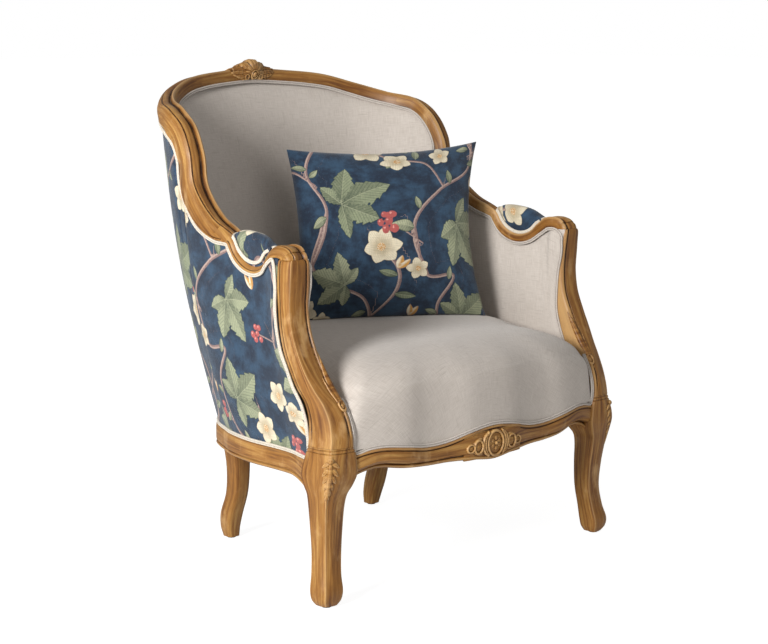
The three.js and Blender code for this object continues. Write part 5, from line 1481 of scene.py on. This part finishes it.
def makeStitches(name, lines, material, slot):
    # a row of machine stitches down the valley between the two cords of each welt
    verts, edges = [], []
    for line in lines:
        first = len(verts)
        verts += [tuple(point) for point in line]
        edges += [(k, k + 1) for k in range(first, len(verts) - 1)]
    mesh = bpy.data.meshes.new(name + "Path")
    mesh.from_pydata(verts, edges, [])
    piece = newObject(name, mesh)
    sewing = piece.modifiers.new("sewing", "NODES")
    sewing.node_group = stitchTree(name, material)
    for item in sewing.node_group.interface.items_tree:
        if item.in_out == "INPUT" and item.name in ("Spacing", "Length", "Thickness"):
            sewing[item.identifier] = stitch[item.name.lower()]
    sewn = bakedMesh(piece)
    piece.modifiers.remove(sewing)
    piece.data = sewn
    sewn.shade_smooth()
    finishPiece(piece, material, slot)


stitchLines = {"linen": [], "piping": []}


def makeWelts():
    radius, gap = chair["weltRadius"], chair["fitGap"]
    rows = np.concatenate([[1.0, 1.45, 1.9], weltRows()])
    top, topNormals = weltOnWood(rows, -1, radius + 0.001)
    post = linenEdge[4:-1] + np.array([-radius * 0.6, -radius * 0.4, 0])
    corner = post[-1:] + np.array([[0, 0, 0.022], [0, 0.001, 0.034]])
    points = np.vstack([post, corner, top])
    normals = np.vstack([np.tile([-1.0, -0.15, 0], (len(post) + 2, 1)), topNormals])
    weltPiece("insideWelt", points, normals, linen, "linen")

    rows = weltRows()
    top, topNormals = weltOnWood(rows, 1, radius + 0.001)
    boxes = slice(0, -1)
    heights = postHeights[boxes]
    share = np.clip((heights - chair["railTop"]) / (chair["armHeight"] - chair["railTop"]), 0, 1)
    face = np.array([outsidePoint(np.array([cover["firstRow"]]), s)[0, 0] for s in share])
    post = np.stack([face + radius * 0.5, postBack[boxes] + radius * 0.6, heights], 1)
    low = np.array([[face[0] + radius * 0.4, postBack[0] + radius * 0.6, chair["railTop"] + radius]])
    points = np.vstack([low, post, top])
    normals = np.vstack([np.tile([1.0, 0.1, 0], (len(post) + 1, 1)), topNormals])
    weltPiece("outsideTopWelt", points, normals, piping, "piping")

    rows = np.concatenate([np.linspace(1.5, 3, 3), rows[rows > 3.1]])
    line = footLine(rows)
    out = levelOut(rows)
    line = line + out * (radius * 0.7)
    line[:, 2] = chair["railTop"] + radius + gap
    weltPiece("outsideLowWelt", line, out, piping, "piping")

    shares = np.linspace(0.02, 0.5, 13)
    line = frontTop(shares) + np.array([0, frontRail["lip"] / 2 - 0.001, radius * 0.8])
    risers = []
    for rise in (0.25, 0.22, 0.13, 0.05):
        row = [np.interp(rise, postShares[:, 0], postShares[:, k]) for k in (1, 3)]
        z = mix(chair["kneeTop"], postTop, rise)
        risers.append([-(row[0] * chair["halfSpan"] - radius), reachOf(row[1]) + radius, z])
    points = np.vstack([risers, line])
    normals = np.vstack([np.tile([0.2, -1.0, 0.1], (4, 1)), np.tile([0, -1.0, 0.5], (len(line), 1))])
    weltPiece("seatWelt", points, normals, linen, "linen")


makeWelts()
makeStitches("linenWeltStitches", stitchLines["linen"], linenThread, "linen")
makeStitches("pipingWeltStitches", stitchLines["piping"], paleThread, "piping")
print("welts and their stitches made")


# Seat

seat = {
    "top": 0.45, "frontRoll": 0.398, "cornerRoll": 0.374, "sideHeight": 0.428,
    "cornerReach": (0.025, 0.006), "setback": 0.006, "rim": 0.004, "centre": (0.0, -0.25 * 0.371), "tuck": 0.001,
    "ripples": 16, "rippleHeight": 0.0022, "shortest": 0.09, "longest": 0.26,
    # how far in towards the centre, and what share of the wall or of the crown is reached there
    "wall": [(0, 0), (0.004, 0.2), (0.006, 0.42), (0.007, 0.64), (0.013, 0.84), (0.032, 1.0)],
    "crown": [(0.07, 0.27), (0.13, 0.5), (0.2, 0.67), (0.3, 0.82), (0.42, 0.91), (0.55, 0.965), (0.75, 0.99),
              (0.98, 1.0)],
}


def seatOutline(share):
    # the seat's edge at a share of its wall's height: front, right side, back, left side
    shares = np.linspace(0.012, 0.988, 96)
    line = frontTop(shares)
    corner = np.abs(2 * shares - 1) ** 4
    line[:, 0] += np.sign(2 * shares - 1) * corner * mix(*seat["cornerReach"], share**1.5)
    base = line[:, 2] + seat["rim"]
    edge = mix(seat["frontRoll"], seat["cornerRoll"], corner)
    front = np.stack([line[:, 0], line[:, 1] + seat["setback"], base, edge], 1)
    rows = np.linspace(1, lastRow - 1, 190)
    near = nearEnd(rows)
    edge = mix(seat["cornerRoll"], seat["sideHeight"], smooth(0, 8, near))
    height = mix(chair["deckHeight"], edge, share)
    rise = np.clip((height - chair["deckHeight"]) / (chair["armHeight"] - chair["deckHeight"]), 0, 1)
    wide = np.where(near < cover["backPadRow"], rise, rise * 0.55)
    points = insidePoint(rows, wide, -seat["tuck"])
    sides = np.stack([points[:, 0], points[:, 1], np.full(len(rows), chair["deckHeight"]), edge], 1)
    return np.vstack([front, sides])


def makeSeat():
    centre = np.array(seat["centre"])
    outline = seatOutline(1)
    knots = [(draw, level, 0) for draw, level in seat["wall"]] + [(draw, 1, rise) for draw, rise in seat["crown"]]
    weights = np.array([1, 0.6, 0.3])
    rings = []
    for draw, level, rise in fineRows(np.array(knots) * weights, 84) / weights:
        level = min(max(level, 0), 1)
        edge = seatOutline(level) if level < 0.999 else outline
        xy = mix(edge[:, :2], centre, draw)
        z = mix(edge[:, 2], edge[:, 3], level)
        z = mix(z, seat["top"], max(rise, 0)) if rise > 0 else z
        rings.append(np.column_stack([xy, z]))
    grid = np.array(rings)
    for _ in range(6):  # eases the turn from the front into the sides
        grid[2:] = 0.5 * grid[2:] + 0.25 * (np.roll(grid[2:], 1, 1) + np.roll(grid[2:], -1, 1))
    rng = np.random.default_rng(8)
    ripple = np.zeros(grid.shape[:2])
    for _ in range(seat["ripples"]):
        turn, phase = rng.uniform(0, 2 * math.pi, 2)
        wave = rng.uniform(seat["shortest"], seat["longest"])
        run = grid[..., 0] * math.cos(turn) + grid[..., 1] * math.sin(turn) + 0.6 * grid[..., 2]
        ripple += np.sin(run * 2 * math.pi / wave + phase)
    fade = smooth(4, 22, np.arange(len(grid)))[:, None]
    grid[..., 2] += ripple / seat["ripples"] * seat["rippleHeight"] * fade
    spread = runLength(grid[:, 40])
    reach = spread[-1] - spread
    angle = np.arctan2(grid[40, :, 1] - centre[1], grid[40, :, 0] - centre[0])
    uv = np.stack([reach[:, None] * np.cos(angle)[None], reach[:, None] * np.sin(angle)[None]], -1)
    uv = np.concatenate([uv, uv[:, :1]], 1)
    piece = loftPiece("seatUpholstery", grid, uv=uv)
    finishPiece(piece, linen, "linen", "seat_cover", "seat_foam", "seat_hessian")


makeSeat()
print("seat made")


# The print: night-blue ground with vines, lobed leaves, blossoms and berries

design = {
    "width": 0.46, "height": 0.5, "vineHalf": 0.0034, "branchHalf": 0.72 * 0.0034, "stemHalf": 0.0013,
    "lobes": ((-108, 0.6), (-54, 0.86), (0, 1.04), (56, 0.88), (110, 0.62)),  # turn and share of the leaf's length
}
vines = [
    [(0.05, -0.03), (0.09, 0.06), (0.055, 0.15), (0.1, 0.24), (0.175, 0.3), (0.165, 0.39), (0.09, 0.43), (0.05, 0.47),
     (0.09, 0.56)],
    [(0.28, -0.06), (0.255, 0.03), (0.32, 0.1), (0.405, 0.15), (0.395, 0.24), (0.32, 0.29), (0.3, 0.37), (0.345, 0.44),
     (0.28, 0.44), (0.255, 0.53)],
    [(0.165, 0.33), (0.22, 0.4), (0.225, 0.46), (0.19, 0.51)],
    [(0.33, 0.11), (0.29, 0.17), (0.23, 0.19), (0.19, 0.235)],
    [(0.07, 0.12), (0.02, 0.16), (-0.03, 0.17), (-0.06, 0.21)],
    [(0.395, 0.23), (0.43, 0.28), (0.42, 0.34)],
]
palms = [  # base, direction in degrees, length
    ((0.125, 0.075), 28, 0.098), ((0.005, 0.235), 118, 0.084), ((0.25, 0.275), 215, 0.078),
    ((0.365, 0.035), -52, 0.09), ((0.355, 0.345), 35, 0.09), ((0.125, 0.425), 158, 0.08),
]
sprigs = [  # base, direction, length: small leaves along the stems
    ((0.088, 0.05), 200, 0.036), ((0.06, 0.14), 35, 0.03), ((0.058, 0.16), 160, 0.034), ((0.098, 0.235), 170, 0.038),
    ((0.12, 0.26), -35, 0.034), ((0.176, 0.31), 15, 0.036), ((0.17, 0.36), 190, 0.032), ((0.22, 0.4), -20, 0.036),
    ((0.225, 0.44), 150, 0.034), ((0.255, 0.03), 165, 0.038), ((0.27, 0.06), 100, 0.03), ((0.35, 0.115), 95, 0.036),
    ((0.4, 0.16), 10, 0.036), ((0.4, 0.2), 175, 0.034), ((0.37, 0.26), 110, 0.03), ((0.31, 0.31), 200, 0.036),
    ((0.3, 0.35), 150, 0.03), ((0.27, 0.185), 80, 0.034), ((0.235, 0.19), 235, 0.034), ((0.02, 0.16), 100, 0.032),
    ((-0.02, 0.17), 250, 0.036), ((0.425, 0.27), -10, 0.032), ((0.33, 0.43), 70, 0.032),
]
blossoms = [  # centre, size, turn, petals
    ((0.19, 0.215), 0.034, 12, 5), ((0.235, 0.18), 0.026, 50, 5), ((0.43, 0.3), 0.032, 40, 5),
    ((0.2, 0.5), 0.034, 70, 6), ((0.325, 0.19), 0.026, 25, 5), ((0.035, 0.37), 0.03, 55, 5),
    ((0.075, 0.345), 0.022, 15, 5), ((0.26, 0.455), 0.024, 30, 5),
]
buds = [  # base, direction, length
    ((0.225, 0.455), 60, 0.03), ((0.42, 0.1), 80, 0.034), ((0.0, 0.06), 110, 0.034), ((0.245, 0.345), 75, 0.03),
    ((0.09, 0.31), 100, 0.032),
]
berryStems = [
    ((0.1, 0.24), (0.07, 0.285)), ((0.32, 0.29), (0.275, 0.315)), ((0.28, 0.0), (0.215, 0.04)),
    ((0.05, 0.47), (0.0, 0.48)), ((0.4, 0.18), (0.45, 0.205)),
]


def berrySpots():
    rng = np.random.default_rng(21)
    spots = []
    for _, tip in berryStems:
        for k in range(6):
            turn = k * 1.05 + rng.uniform(-0.25, 0.25)
            reach = 0.0125 if k else 0.0
            x, y = tip[0] + reach * math.cos(turn) * 1.15, tip[1] + reach * math.sin(turn)
            spots.append((x, y, rng.uniform(0.0052, 0.0072)))
    return spots


def printValues(uv):
    # what the printed cloth shows at each point of its own plane
    width, height = design["width"], design["height"]
    starts = {
        "leafEdge": -0.2, "leafRib": 0.0, "leafRun": 0.0, "leafTone": 0.0, "petalEdge": -0.2, "petalRib": 0.0,
        "petalRun": 0.0, "heartEdge": -0.2, "budEdge": -0.2, "budRib": -0.2, "berryEdge": -0.2, "berryGlint": -0.2,
        "vineBeside": 0.2, "vineHalf": design["vineHalf"],
    }
    field = {name: np.full(len(uv), start) for name, start in starts.items()}

    def near(centre, reach):
        dx = (uv[:, 0] - centre[0] + width / 2) % width - width / 2
        dy = (uv[:, 1] - centre[1] + height / 2) % height - height / 2
        index = np.flatnonzero(dx * dx + dy * dy < reach * reach)
        return index, np.stack([dx[index], dy[index]], 1)

    def laid(kind, base, turn, length, half, blunt, teeth=0, tone=None, lean=0.0):
        # one blade, laid where no other of its kind covers more
        index, points = near(base, length * 1.25)
        own = bladeField(points, (0, 0), math.radians(turn), length, half, teeth, blunt, lean)
        better = own[0] > field[kind + "Edge"][index]
        for part, numbers in zip(("Edge", "Rib", "Run"), own):
            if kind + part in field:
                field[kind + part][index[better]] = numbers[better]
        if tone is not None:
            field[kind + "Tone"][index[better]] = tone

    rng = np.random.default_rng(5)
    for base, turn, length in sprigs:
        laid("leaf", base, turn, length, length * 0.24, 0.8, 0, rng.uniform(0.1, 1), 0.12)
    for base, turn, length in palms:
        tone = rng.uniform(0.2, 0.9)
        for offset, share in design["lobes"]:
            lobe = length * share * rng.uniform(0.94, 1.05)
            laid("leaf", base, turn + offset, lobe, lobe * 0.3, 0.96, 6, tone, rng.uniform(-0.08, 0.08))
    for centre, size, turn, petals in blossoms:
        for k in range(petals):
            laid("petal", centre, turn + k * 360 / petals, size, size * 0.37, 1.25)
        index, points = near(centre, size)
        heart = size * 0.23 - np.linalg.norm(points, axis=1)
        field["heartEdge"][index] = np.maximum(field["heartEdge"][index], heart)
    for base, turn, length in buds:
        for lean in (-16, 16):
            laid("bud", base, turn + lean, length, length * 0.2, 0.9)
    for x, y, radius in berrySpots():
        index, points = near((x, y), 0.03)
        own = radius - np.linalg.norm(points, axis=1)
        glint = radius * 0.36 - np.linalg.norm(points - np.array([-0.3, 0.32]) * radius, axis=1)
        better = own > field["berryEdge"][index]
        field["berryEdge"][index[better]] = own[better]
        field["berryGlint"][index[better]] = glint[better]
    lines = [(evenLine(np.array(v), 0.006), design["vineHalf" if k < 2 else "branchHalf"]) for k, v in enumerate(vines)]
    lines += [(np.array(s), design["stemHalf"]) for s in berryStems]
    for line, half in lines:
        for a, b in zip(line[:-1], line[1:]):
            index, points = near((a + b) / 2, 0.03)
            length = np.linalg.norm(b - a)
            step = (b - a) / length
            beside = points @ np.array([-step[1], step[0]])
            reach = np.hypot(beside, np.maximum(np.abs(points @ step) - length / 2, 0))
            better = reach < np.abs(field["vineBeside"][index])
            field["vineBeside"][index[better]] = (np.where(beside < 0, -1, 1) * reach)[better]
            field["vineHalf"][index[better]] = half
    return field


def makePrint():
    material, tree, shader = newMaterial("botanicalPrint", 0.88, Sheen_Weight=0.2)
    look, soft = printLook, 0.00035
    dark, pale = look["leafDark"], look["leafPale"]
    place = surfaceUv(tree)
    wobble = noiseValue(tree, place, 420.0, 3.0, 0.6)
    ragged = times(tree, calc(tree, "SUBTRACT", wobble, 0.5), 0.0016)

    def values(kind, *parts):
        return [attributeOf(tree, kind + part) for part in parts]

    def laidOn(under, edge, over):
        # with the slightly ragged edge of a print
        return blendColour(tree, step(tree, calc(tree, "ADD", edge, ragged), -soft, soft), under, over)

    cloud = noiseValue(tree, place, 26.0, 5.0, 0.65)
    fleck = noiseValue(tree, place, 150.0, 4.0, 0.7)
    ground = blendColour(tree, step(tree, cloud, 0.38, 0.66), look["night"], look["sea"])
    ground = washed(tree, ground, look["sea"], step(tree, fleck, 0.5, 0.72), 0.55)

    beside, half = values("vine", "Beside", "Half")
    bark = grained(tree, place, (220, 220, 1), 4.0, 0.7)
    uneven = times(tree, calc(tree, "SUBTRACT", bark, 0.5), 0.006)
    lit = step(tree, calc(tree, "ADD", beside, uneven), -0.0008, 0.0012)
    vine = blendColour(tree, lit, look["vine"], look["vinePale"])
    colour = laidOn(ground, calc(tree, "SUBTRACT", half, calc(tree, "ABSOLUTE", beside)), vine)

    edge, rib, run, tone = values("leaf", "Edge", "Rib", "Run", "Tone")
    ribAway = calc(tree, "ABSOLUTE", rib)
    slant = calc(tree, "ADD", times(tree, run, 62.0), times(tree, ribAway, -900.0))
    leaf = blendColour(tree, tone, look["leaf"], pale)
    leaf = washed(tree, leaf, dark, step(tree, rib, -0.0006, 0.0006), 0.4)
    leaf = washed(tree, leaf, dark, step(tree, run, 0.5, 0.0), 0.6)
    leaf = washed(tree, leaf, dark, step(tree, calc(tree, "SINE", slant), 0.55, 0.95), 0.45)
    leaf = washed(tree, leaf, pale, step(tree, fleck, 0.48, 0.7), 0.3)
    leaf = blendColour(tree, step(tree, edge, 0.0018, 0.0004), leaf, dark)
    leaf = washed(tree, leaf, pale, step(tree, ribAway, 0.0009, 0.0003), 0.6)
    colour = laidOn(colour, edge, leaf)

    edge, rib = values("bud", "Edge", "Rib")
    bud = blendColour(tree, step(tree, rib, -0.002, 0.003), look["ochre"], look["petal"])
    bud = blendColour(tree, step(tree, edge, 0.0014, 0.0004), bud, look["vine"])
    colour = laidOn(colour, edge, bud)

    edge, rib, run = values("petal", "Edge", "Rib", "Run")
    streaks = calc(tree, "SINE", times(tree, rib, 1900.0))
    petal = washed(tree, look["petal"], look["petalShade"], step(tree, run, 0.75, 0.2), 0.7)
    petal = washed(tree, petal, look["petalShade"], step(tree, streaks, 0.5, 0.95), 0.35)
    petal = blendColour(tree, step(tree, edge, 0.0012, 0.0003), petal, look["petalShade"])
    colour = laidOn(colour, edge, petal)
    dots = noiseValue(tree, place, 520.0, 2.0, 0.5)
    heart = blendColour(tree, step(tree, dots, 0.45, 0.6), look["heart"], look["petal"])
    colour = laidOn(colour, *values("heart", "Edge"), heart)

    edge, glint = values("berry", "Edge", "Glint")
    berry = blendColour(tree, step(tree, glint, -soft, soft), look["berry"], look["berryPale"])
    colour = laidOn(colour, edge, berry)

    woven, threads = clothBump(tree, place, look["pitch"])
    colour = washed(tree, colour, look["night"], step(tree, threads, 0.62, 0.4), 0.28)
    finished(tree, shader, colour, calc(tree, "ADD", times(tree, woven, 0.3), threads), 0.3, 0.0005)
    return material


printed = makePrint()


# Outside panels

panel = {
    "thickness": 0.003, "padRow": 0.6, "stepAcross": 0.003, "patternShift": (0.08, 0.0), "turnedUnder": 1.12,
    "rowsUp": 196,
    "besidePost": 0.011,  # how far from the post each row keeps, in metres a row
}


def makePanels():
    side, back = panel["padRow"], wingEnd
    plans = [  # name, first and last row, where its print starts, facing, what it is tacked on
        ("outsideSidePanelRight", side, back, 0.0, (1, 0, 0), "armPostRight"),
        ("outsideBackPanel", back, lastRow - back, 0.62, (0, 1, 0), "crestRail"),
        ("outsideSidePanelLeft", lastRow - back, lastRow - side, 1.4, (-1, 0, 0), "armPostLeft"),
    ]
    for name, first, last, start, facing, holder in plans:
        length = runLength(footLine(np.linspace(first, last, 60)))[-1]
        rows = np.linspace(first, last, int(length / panel["stepAcross"] * 1.1) + 1)
        grid = np.stack([outsidePoint(rows, share) for share in np.linspace(0, 1, panel["rowsUp"])], 1)
        near = nearEnd(rows)[:, None]
        least = np.interp(grid[..., 2], postHeights, postBack) + 0.0006 + (near - side) * panel["besidePost"]
        grid[..., 1] = np.where(near < 7, np.maximum(grid[..., 1], least), grid[..., 1])
        run = runLength(grid[:, panel["rowsUp"] // 2])
        place = np.stack([np.broadcast_to((run + start)[:, None], grid.shape[:2]), grid[..., 2]], -1)
        uv = place + np.array(panel["patternShift"])
        piece = sheetPiece(name, grid, facing, panel["thickness"], uv)
        giveValues(piece.data, printValues(uv.reshape(-1, 2)))
        finishPiece(piece, printed, "print", ownNode(name))


makePanels()
print("outside panels made")


# Arm pads in the dip of the arm rails, with their welts

armPad = {
    "patternShift": (0.12, 0.165),
    "start": 2.4, "end": 8.3, "endGap": 0.25, "swell": 0.006, "height": 0.06,
    "above": 0.0095, "below": 0.006, "weltEnds": (2.55, 8.2),
    "tops": [0, 0.5, 0.82, 0.97, 1, 0.97, 0.85, 0.6, 0.08],
}


def armPadGrid():
    share = np.linspace(0, 1, 66)
    rows = mix(armPad["start"] + armPad["endGap"], armPad["end"] - armPad["endGap"], share)
    knots = np.linspace(0, 1, len(armPad["tops"]))
    tops = splineThrough(np.stack([knots, armPad["tops"]], 1))(share * (len(knots) - 1))[:, 1]
    base = topLine(rows)
    ends = topLine([armPad["start"], armPad["end"]])[:, 2]
    chord = mix(ends[0], ends[1], share)
    top = chord + 0.3 * armPad["height"] * np.maximum(tops, 0)
    clear = np.minimum(base[:, 2] + armPad["above"], mix(base[:, 2], top, 0.6))
    low = np.minimum(base[:, 2], chord) - armPad["below"]
    half = wood["armHalf"] - 2 * chair["weltRadius"] - 2 * chair["fitGap"]
    wide = half + armPad["swell"] * np.maximum(tops, 0)
    columns = [np.stack([base[:, 0] - half, base[:, 1], low], 1)]
    for turn in np.linspace(0, math.pi, 33):
        x = -math.cos(turn)
        x = np.sign(x) * abs(x) ** 0.82
        rise = math.sin(turn) ** 0.72
        side = mix(half, wide, math.sin(min(turn, math.pi - turn) * 2) if rise < 0.9 else 0.85)
        columns.append(np.stack([base[:, 0] + x * side, base[:, 1], mix(clear, top * 0.97 + clear * 0.03, rise)], 1))
    columns.append(np.stack([base[:, 0] + half, base[:, 1], low], 1))
    return np.stack(columns, 1)


def makeArmPads():
    grid = armPadGrid()
    rows = np.arange(3, 8.25, 0.25)
    radius = chair["weltRadius"]
    beside = wood["armHalf"] - radius * 1.4
    outer, inner = (offsetFrom(rows, side * beside, radius * 0.75) for side in (1, -1))
    front, back = topLine(armPad["weltEnds"]) + np.array([0, 0, radius * 0.8])
    loop = np.vstack([outer, back, inner[::-1], front, outer[:1]])
    line = evenLine(loop, 0.003)[:-1]
    away = (line - line.mean(0)) * np.array([1, 0.25, 0])
    facing = unit(away) * 0.8 + np.array([0, 0, 0.6])
    uv = flatUv(grid, True) + np.array(armPad["patternShift"])
    for side, sign in sides:
        turn = np.array([sign, 1, 1])
        piece = loftPiece("armPad" + side, grid * turn, uv)
        giveValues(piece.data, printValues(uv[:, :-1].reshape(-1, 2)))
        finishPiece(piece, printed, "print", ownNode(piece.name))
        welt = closedCord("armPadWelt" + side, line * turn, facing * turn, radius)
        finishPiece(welt, piping, "piping", ownNode(welt.name))


makeArmPads()
print("arm pads made")


# Dust cover under the seat

dust = {"top": 0.2379, "thickness": 0.0006, "inset": 0.0215, "sag": 0.0035, "tackedUp": 0.004, "startRow": 2.2}


def makeDustCover():
    shares = np.linspace(0.05, 0.95, 60)
    front = frontTop(shares)[:, :2] + np.array([0, frontRail["thickness"] + 0.001])
    rows = np.linspace(dust["startRow"], lastRow - dust["startRow"], 150)
    sides = footLine(rows)[:, :2] - levelOut(rows)[:, :2] * dust["inset"]
    outline = np.vstack([front, sides])
    frontLift = np.maximum(frontUnder(shares)[:, 2] + dust["tackedUp"] - dust["top"], 0)
    away = np.minimum(np.linalg.norm(sides - sides[0], axis=1), np.linalg.norm(sides - sides[-1], axis=1))
    lift = np.concatenate([frontLift, max(frontLift[0], frontLift[-1]) * smooth(0.1, 0, away)])
    centre = np.array([0, -0.03])
    rings = []
    for draw in np.linspace(0, 0.985, 22):
        sag = dust["sag"] * (1 - (1 - draw) ** 2)
        rings.append(np.column_stack([mix(outline, centre, draw), dust["top"] - sag + lift * (1 - draw) ** 3]))
    piece = loftPiece("dustCover", np.array(rings), ends=False)
    mesh = piece.data
    if mesh.polygons[0].normal.z > 0:
        mesh.flip_normals()
    thicken(piece, dust["thickness"])
    finishPiece(piece, blackCloth, "dust_cloth", "dust_cover")


makeDustCover()
print("dust cover made")


# Scatter cushion: a crowned form with the creases of two blown squares of cloth, leant and turned into place

cushion = {
    "width": 0.4, "height": 0.378, "thickness": 0.132, "yaw": -31, "lean": 14,
    "place": (0.098, 0.008 - 0.00233, 0.434),
    "pullRight": 0.15, "pullLeft": 0.05, "pullTop": 0.12, "pullBottom": 0.04,
    "topCornerSag": (-0.01, -0.011),  # the corner on the left hangs a little
    "round": 0.42, "rimDraw": 0.86,
    "wrinkle": 0.8, "ironing": 14, "startSwell": 0.028,
    "steps": 62, "pressure": 5.0, "frames": 22, "frontShift": (0.225, 0.03), "backShift": (0.02, 0.25),
    "restBelow": 0.47, "restGap": 0.0012,
    "cloth": {
        "quality": 6, "mass": 0.2, "tension_stiffness": 22, "compression_stiffness": 14, "shear_stiffness": 8,
        "bending_stiffness": 0.35,
    },
}


def cushionGrid(draw=1.0):
    # places across and up, closer to each other near the rim, and which of them are off the rim
    spread = np.linspace(-1, 1, cushion["steps"] + 1)
    spread = np.sign(spread) * np.abs(spread) ** draw
    u, v = (axis.ravel() for axis in np.meshgrid(spread, spread, indexing="ij"))
    return u, v, np.flatnonzero(np.maximum(np.abs(u), np.abs(v)) < 0.9999)


def cushionPlace():
    turn = Matrix.Rotation(math.radians(cushion["yaw"]), 4, "Z")
    turn = turn @ Matrix.Rotation(math.radians(-cushion["lean"]), 4, "X")
    lift = turn @ Vector((0, 0, cushion["height"] / 2))
    return Matrix.Translation(Vector(cushion["place"]) + lift) @ turn


def flatCushion():
    # two squares of cloth joined along their rims, barely swelled
    count = cushion["steps"] + 1
    u, v, inner = cushionGrid()
    swell = cushion["startSwell"] * ((1 - u * u) * (1 - v * v)) ** 0.6
    plane = np.stack([u * cushion["width"] / 2, v * cushion["height"] / 2], -1)
    front, back = (np.stack([plane[:, 0], side * swell, plane[:, 1]], -1) for side in (-1, 1))
    backIndex = np.arange(count * count)
    backIndex[inner] = count * count + np.arange(len(inner))
    quads, _ = gridFaces(count, count, False)
    faces = np.concatenate([quads, backIndex[quads][:, ::-1]])
    frontUv = plane[quads] + np.array(cushion["frontShift"])
    backUv = plane[quads][:, ::-1] + np.array(cushion["backShift"])
    uv = np.concatenate([frontUv, backUv]).reshape(-1, 2)
    return meshPiece("cushionShell", np.concatenate([front, back[inner]]), faces.tolist(), uv)


def swollen(piece):
    cloth = piece.modifiers.new("cloth", "CLOTH")
    settings = cloth.settings
    settings.use_pressure = True
    settings.uniform_pressure_force = cushion["pressure"]
    settings.effector_weights.gravity = 0
    for key, value in cushion["cloth"].items():
        setattr(settings, key, value)
    cloth.collision_settings.use_collision = False
    cloth.collision_settings.use_self_collision = False
    cloth.point_cache.frame_start, cloth.point_cache.frame_end = 1, cushion["frames"]
    for at in range(1, cushion["frames"] + 1):
        scene.frame_set(at)
    blown = bakedMesh(piece)
    piece.modifiers.remove(cloth)
    scene.frame_set(1)
    return pointsOf(blown)


def wrinkles(points):
    # what the blown cloth's depth has beyond its own smoothed form
    count = cushion["steps"] + 1
    inner = cushionGrid()[2]
    depth = np.stack([points[:count * count, 1]] * 2)
    depth[1, inner] = points[count * count:, 1]
    grids = depth.reshape(2, count, count)
    rest = (grids - ironed(grids, cushion["ironing"])).reshape(2, -1)
    return np.concatenate([rest[0], rest[1, inner]])


def squared(points):
    # four edges that pull in between the corners, and a crowned face on each side
    u, v, inner = cushionGrid(cushion["rimDraw"])
    side = np.concatenate([np.full(len(u), -1.0), np.full(len(inner), 1.0)])
    u, v = np.concatenate([u, u[inner]]), np.concatenate([v, v[inner]])
    pullAcross = np.where(u > 0, cushion["pullRight"], cushion["pullLeft"])
    pullUp = np.where(v > 0, cushion["pullTop"], cushion["pullBottom"])
    x = cushion["width"] / 2 * u * (1 - pullAcross * (1 - v * v) * np.abs(u))
    z = cushion["height"] / 2 * v * (1 - pullUp * (1 - u * u) * np.abs(v))
    crown = ((1 - u * u) * (1 - v * v)) ** cushion["round"]
    y = side * cushion["thickness"] / 2 * crown
    y = y + wrinkles(points) * cushion["wrinkle"] * np.minimum(crown * 4, 1)
    sag = np.clip((1 - u) / 2, 0, 1) ** 3 * np.clip((1 + v) / 2, 0, 1) ** 3
    return np.stack([x + cushion["topCornerSag"][0] * sag, y, z + cushion["topCornerSag"][1] * sag], 1)


def makeCushion():
    shell = flatCushion()
    points = swollen(shell)
    points = squared(points - (points.max(0) + points.min(0)) / 2)
    place = np.array(cushionPlace())
    points = points @ place[:3, :3].T + place[:3, 3]
    shell.data.vertices.foreach_set("co", points.ravel())
    smoother = shell.modifiers.new("smoother", "SUBSURF")
    smoother.levels = smoother.render_levels = 1
    smoother.uv_smooth = "NONE"
    mesh = bakedMesh(shell)
    shell.modifiers.remove(smoother)
    mesh.vertices.foreach_set("co", restOnSeat(pointsOf(mesh)).ravel())
    loops = np.empty(len(mesh.loops), int)
    mesh.loops.foreach_get("vertex_index", loops)
    loopUv = np.empty(len(mesh.loops) * 2)
    mesh.uv_layers["cloth"].data.foreach_get("uv", loopUv)
    uv = np.zeros((len(mesh.vertices), 2))
    uv[loops[::-1]] = loopUv.reshape(-1, 2)[::-1]  # front corners win on the rim
    shell.data = mesh
    shell.name = "scatterCushion"
    mesh.name = "scatterCushion"
    giveValues(mesh, printValues(uv))
    mesh.shade_smooth()
    nodes = ("cushion_front_cover", "cushion_back_cover", "cushion_filling")
    finishPiece(shell, printed, "print", *nodes, body="cushion")


def restOnSeat(points):
    # what would sink into the seat is pressed flat on it
    tree = BVHTree.FromObject(bpy.data.objects["seatUpholstery"], bpy.context.evaluated_depsgraph_get())
    lifted = points.copy()
    for i in np.flatnonzero(points[:, 2] < cushion["restBelow"]):
        x, y, z = points[i]
        hit = tree.ray_cast(Vector((x, y, 0.6)), Vector((0, 0, -1)))[0]
        if hit is not None:
            lifted[i, 2] = max(z, hit.z + cushion["restGap"])
    return lifted


makeCushion()
print("cushion made")


# Nodes that stay as they are, with their finishes

plainNodes = {f"seat_spring_{k}": wireSteel for k in range(1, 5)}
plainNodes["back_stay_rail"] = beech
for side in ("right", "left"):
    plainNodes["back_upright_" + side] = beech
    for end in ("front", "back"):
        plainNodes[f"{end}_corner_block_{side}"] = blockWood
        plainNodes[f"{end}_block_screw_{side}"] = wireSteel
        plainNodes[f"{end}_glide_{side}"] = glideBlack
for name, material in plainNodes.items():
    node = bpy.data.objects[name]
    for slot in node.material_slots:
        slot.material = material
print("hidden parts finished:", len(plainNodes))
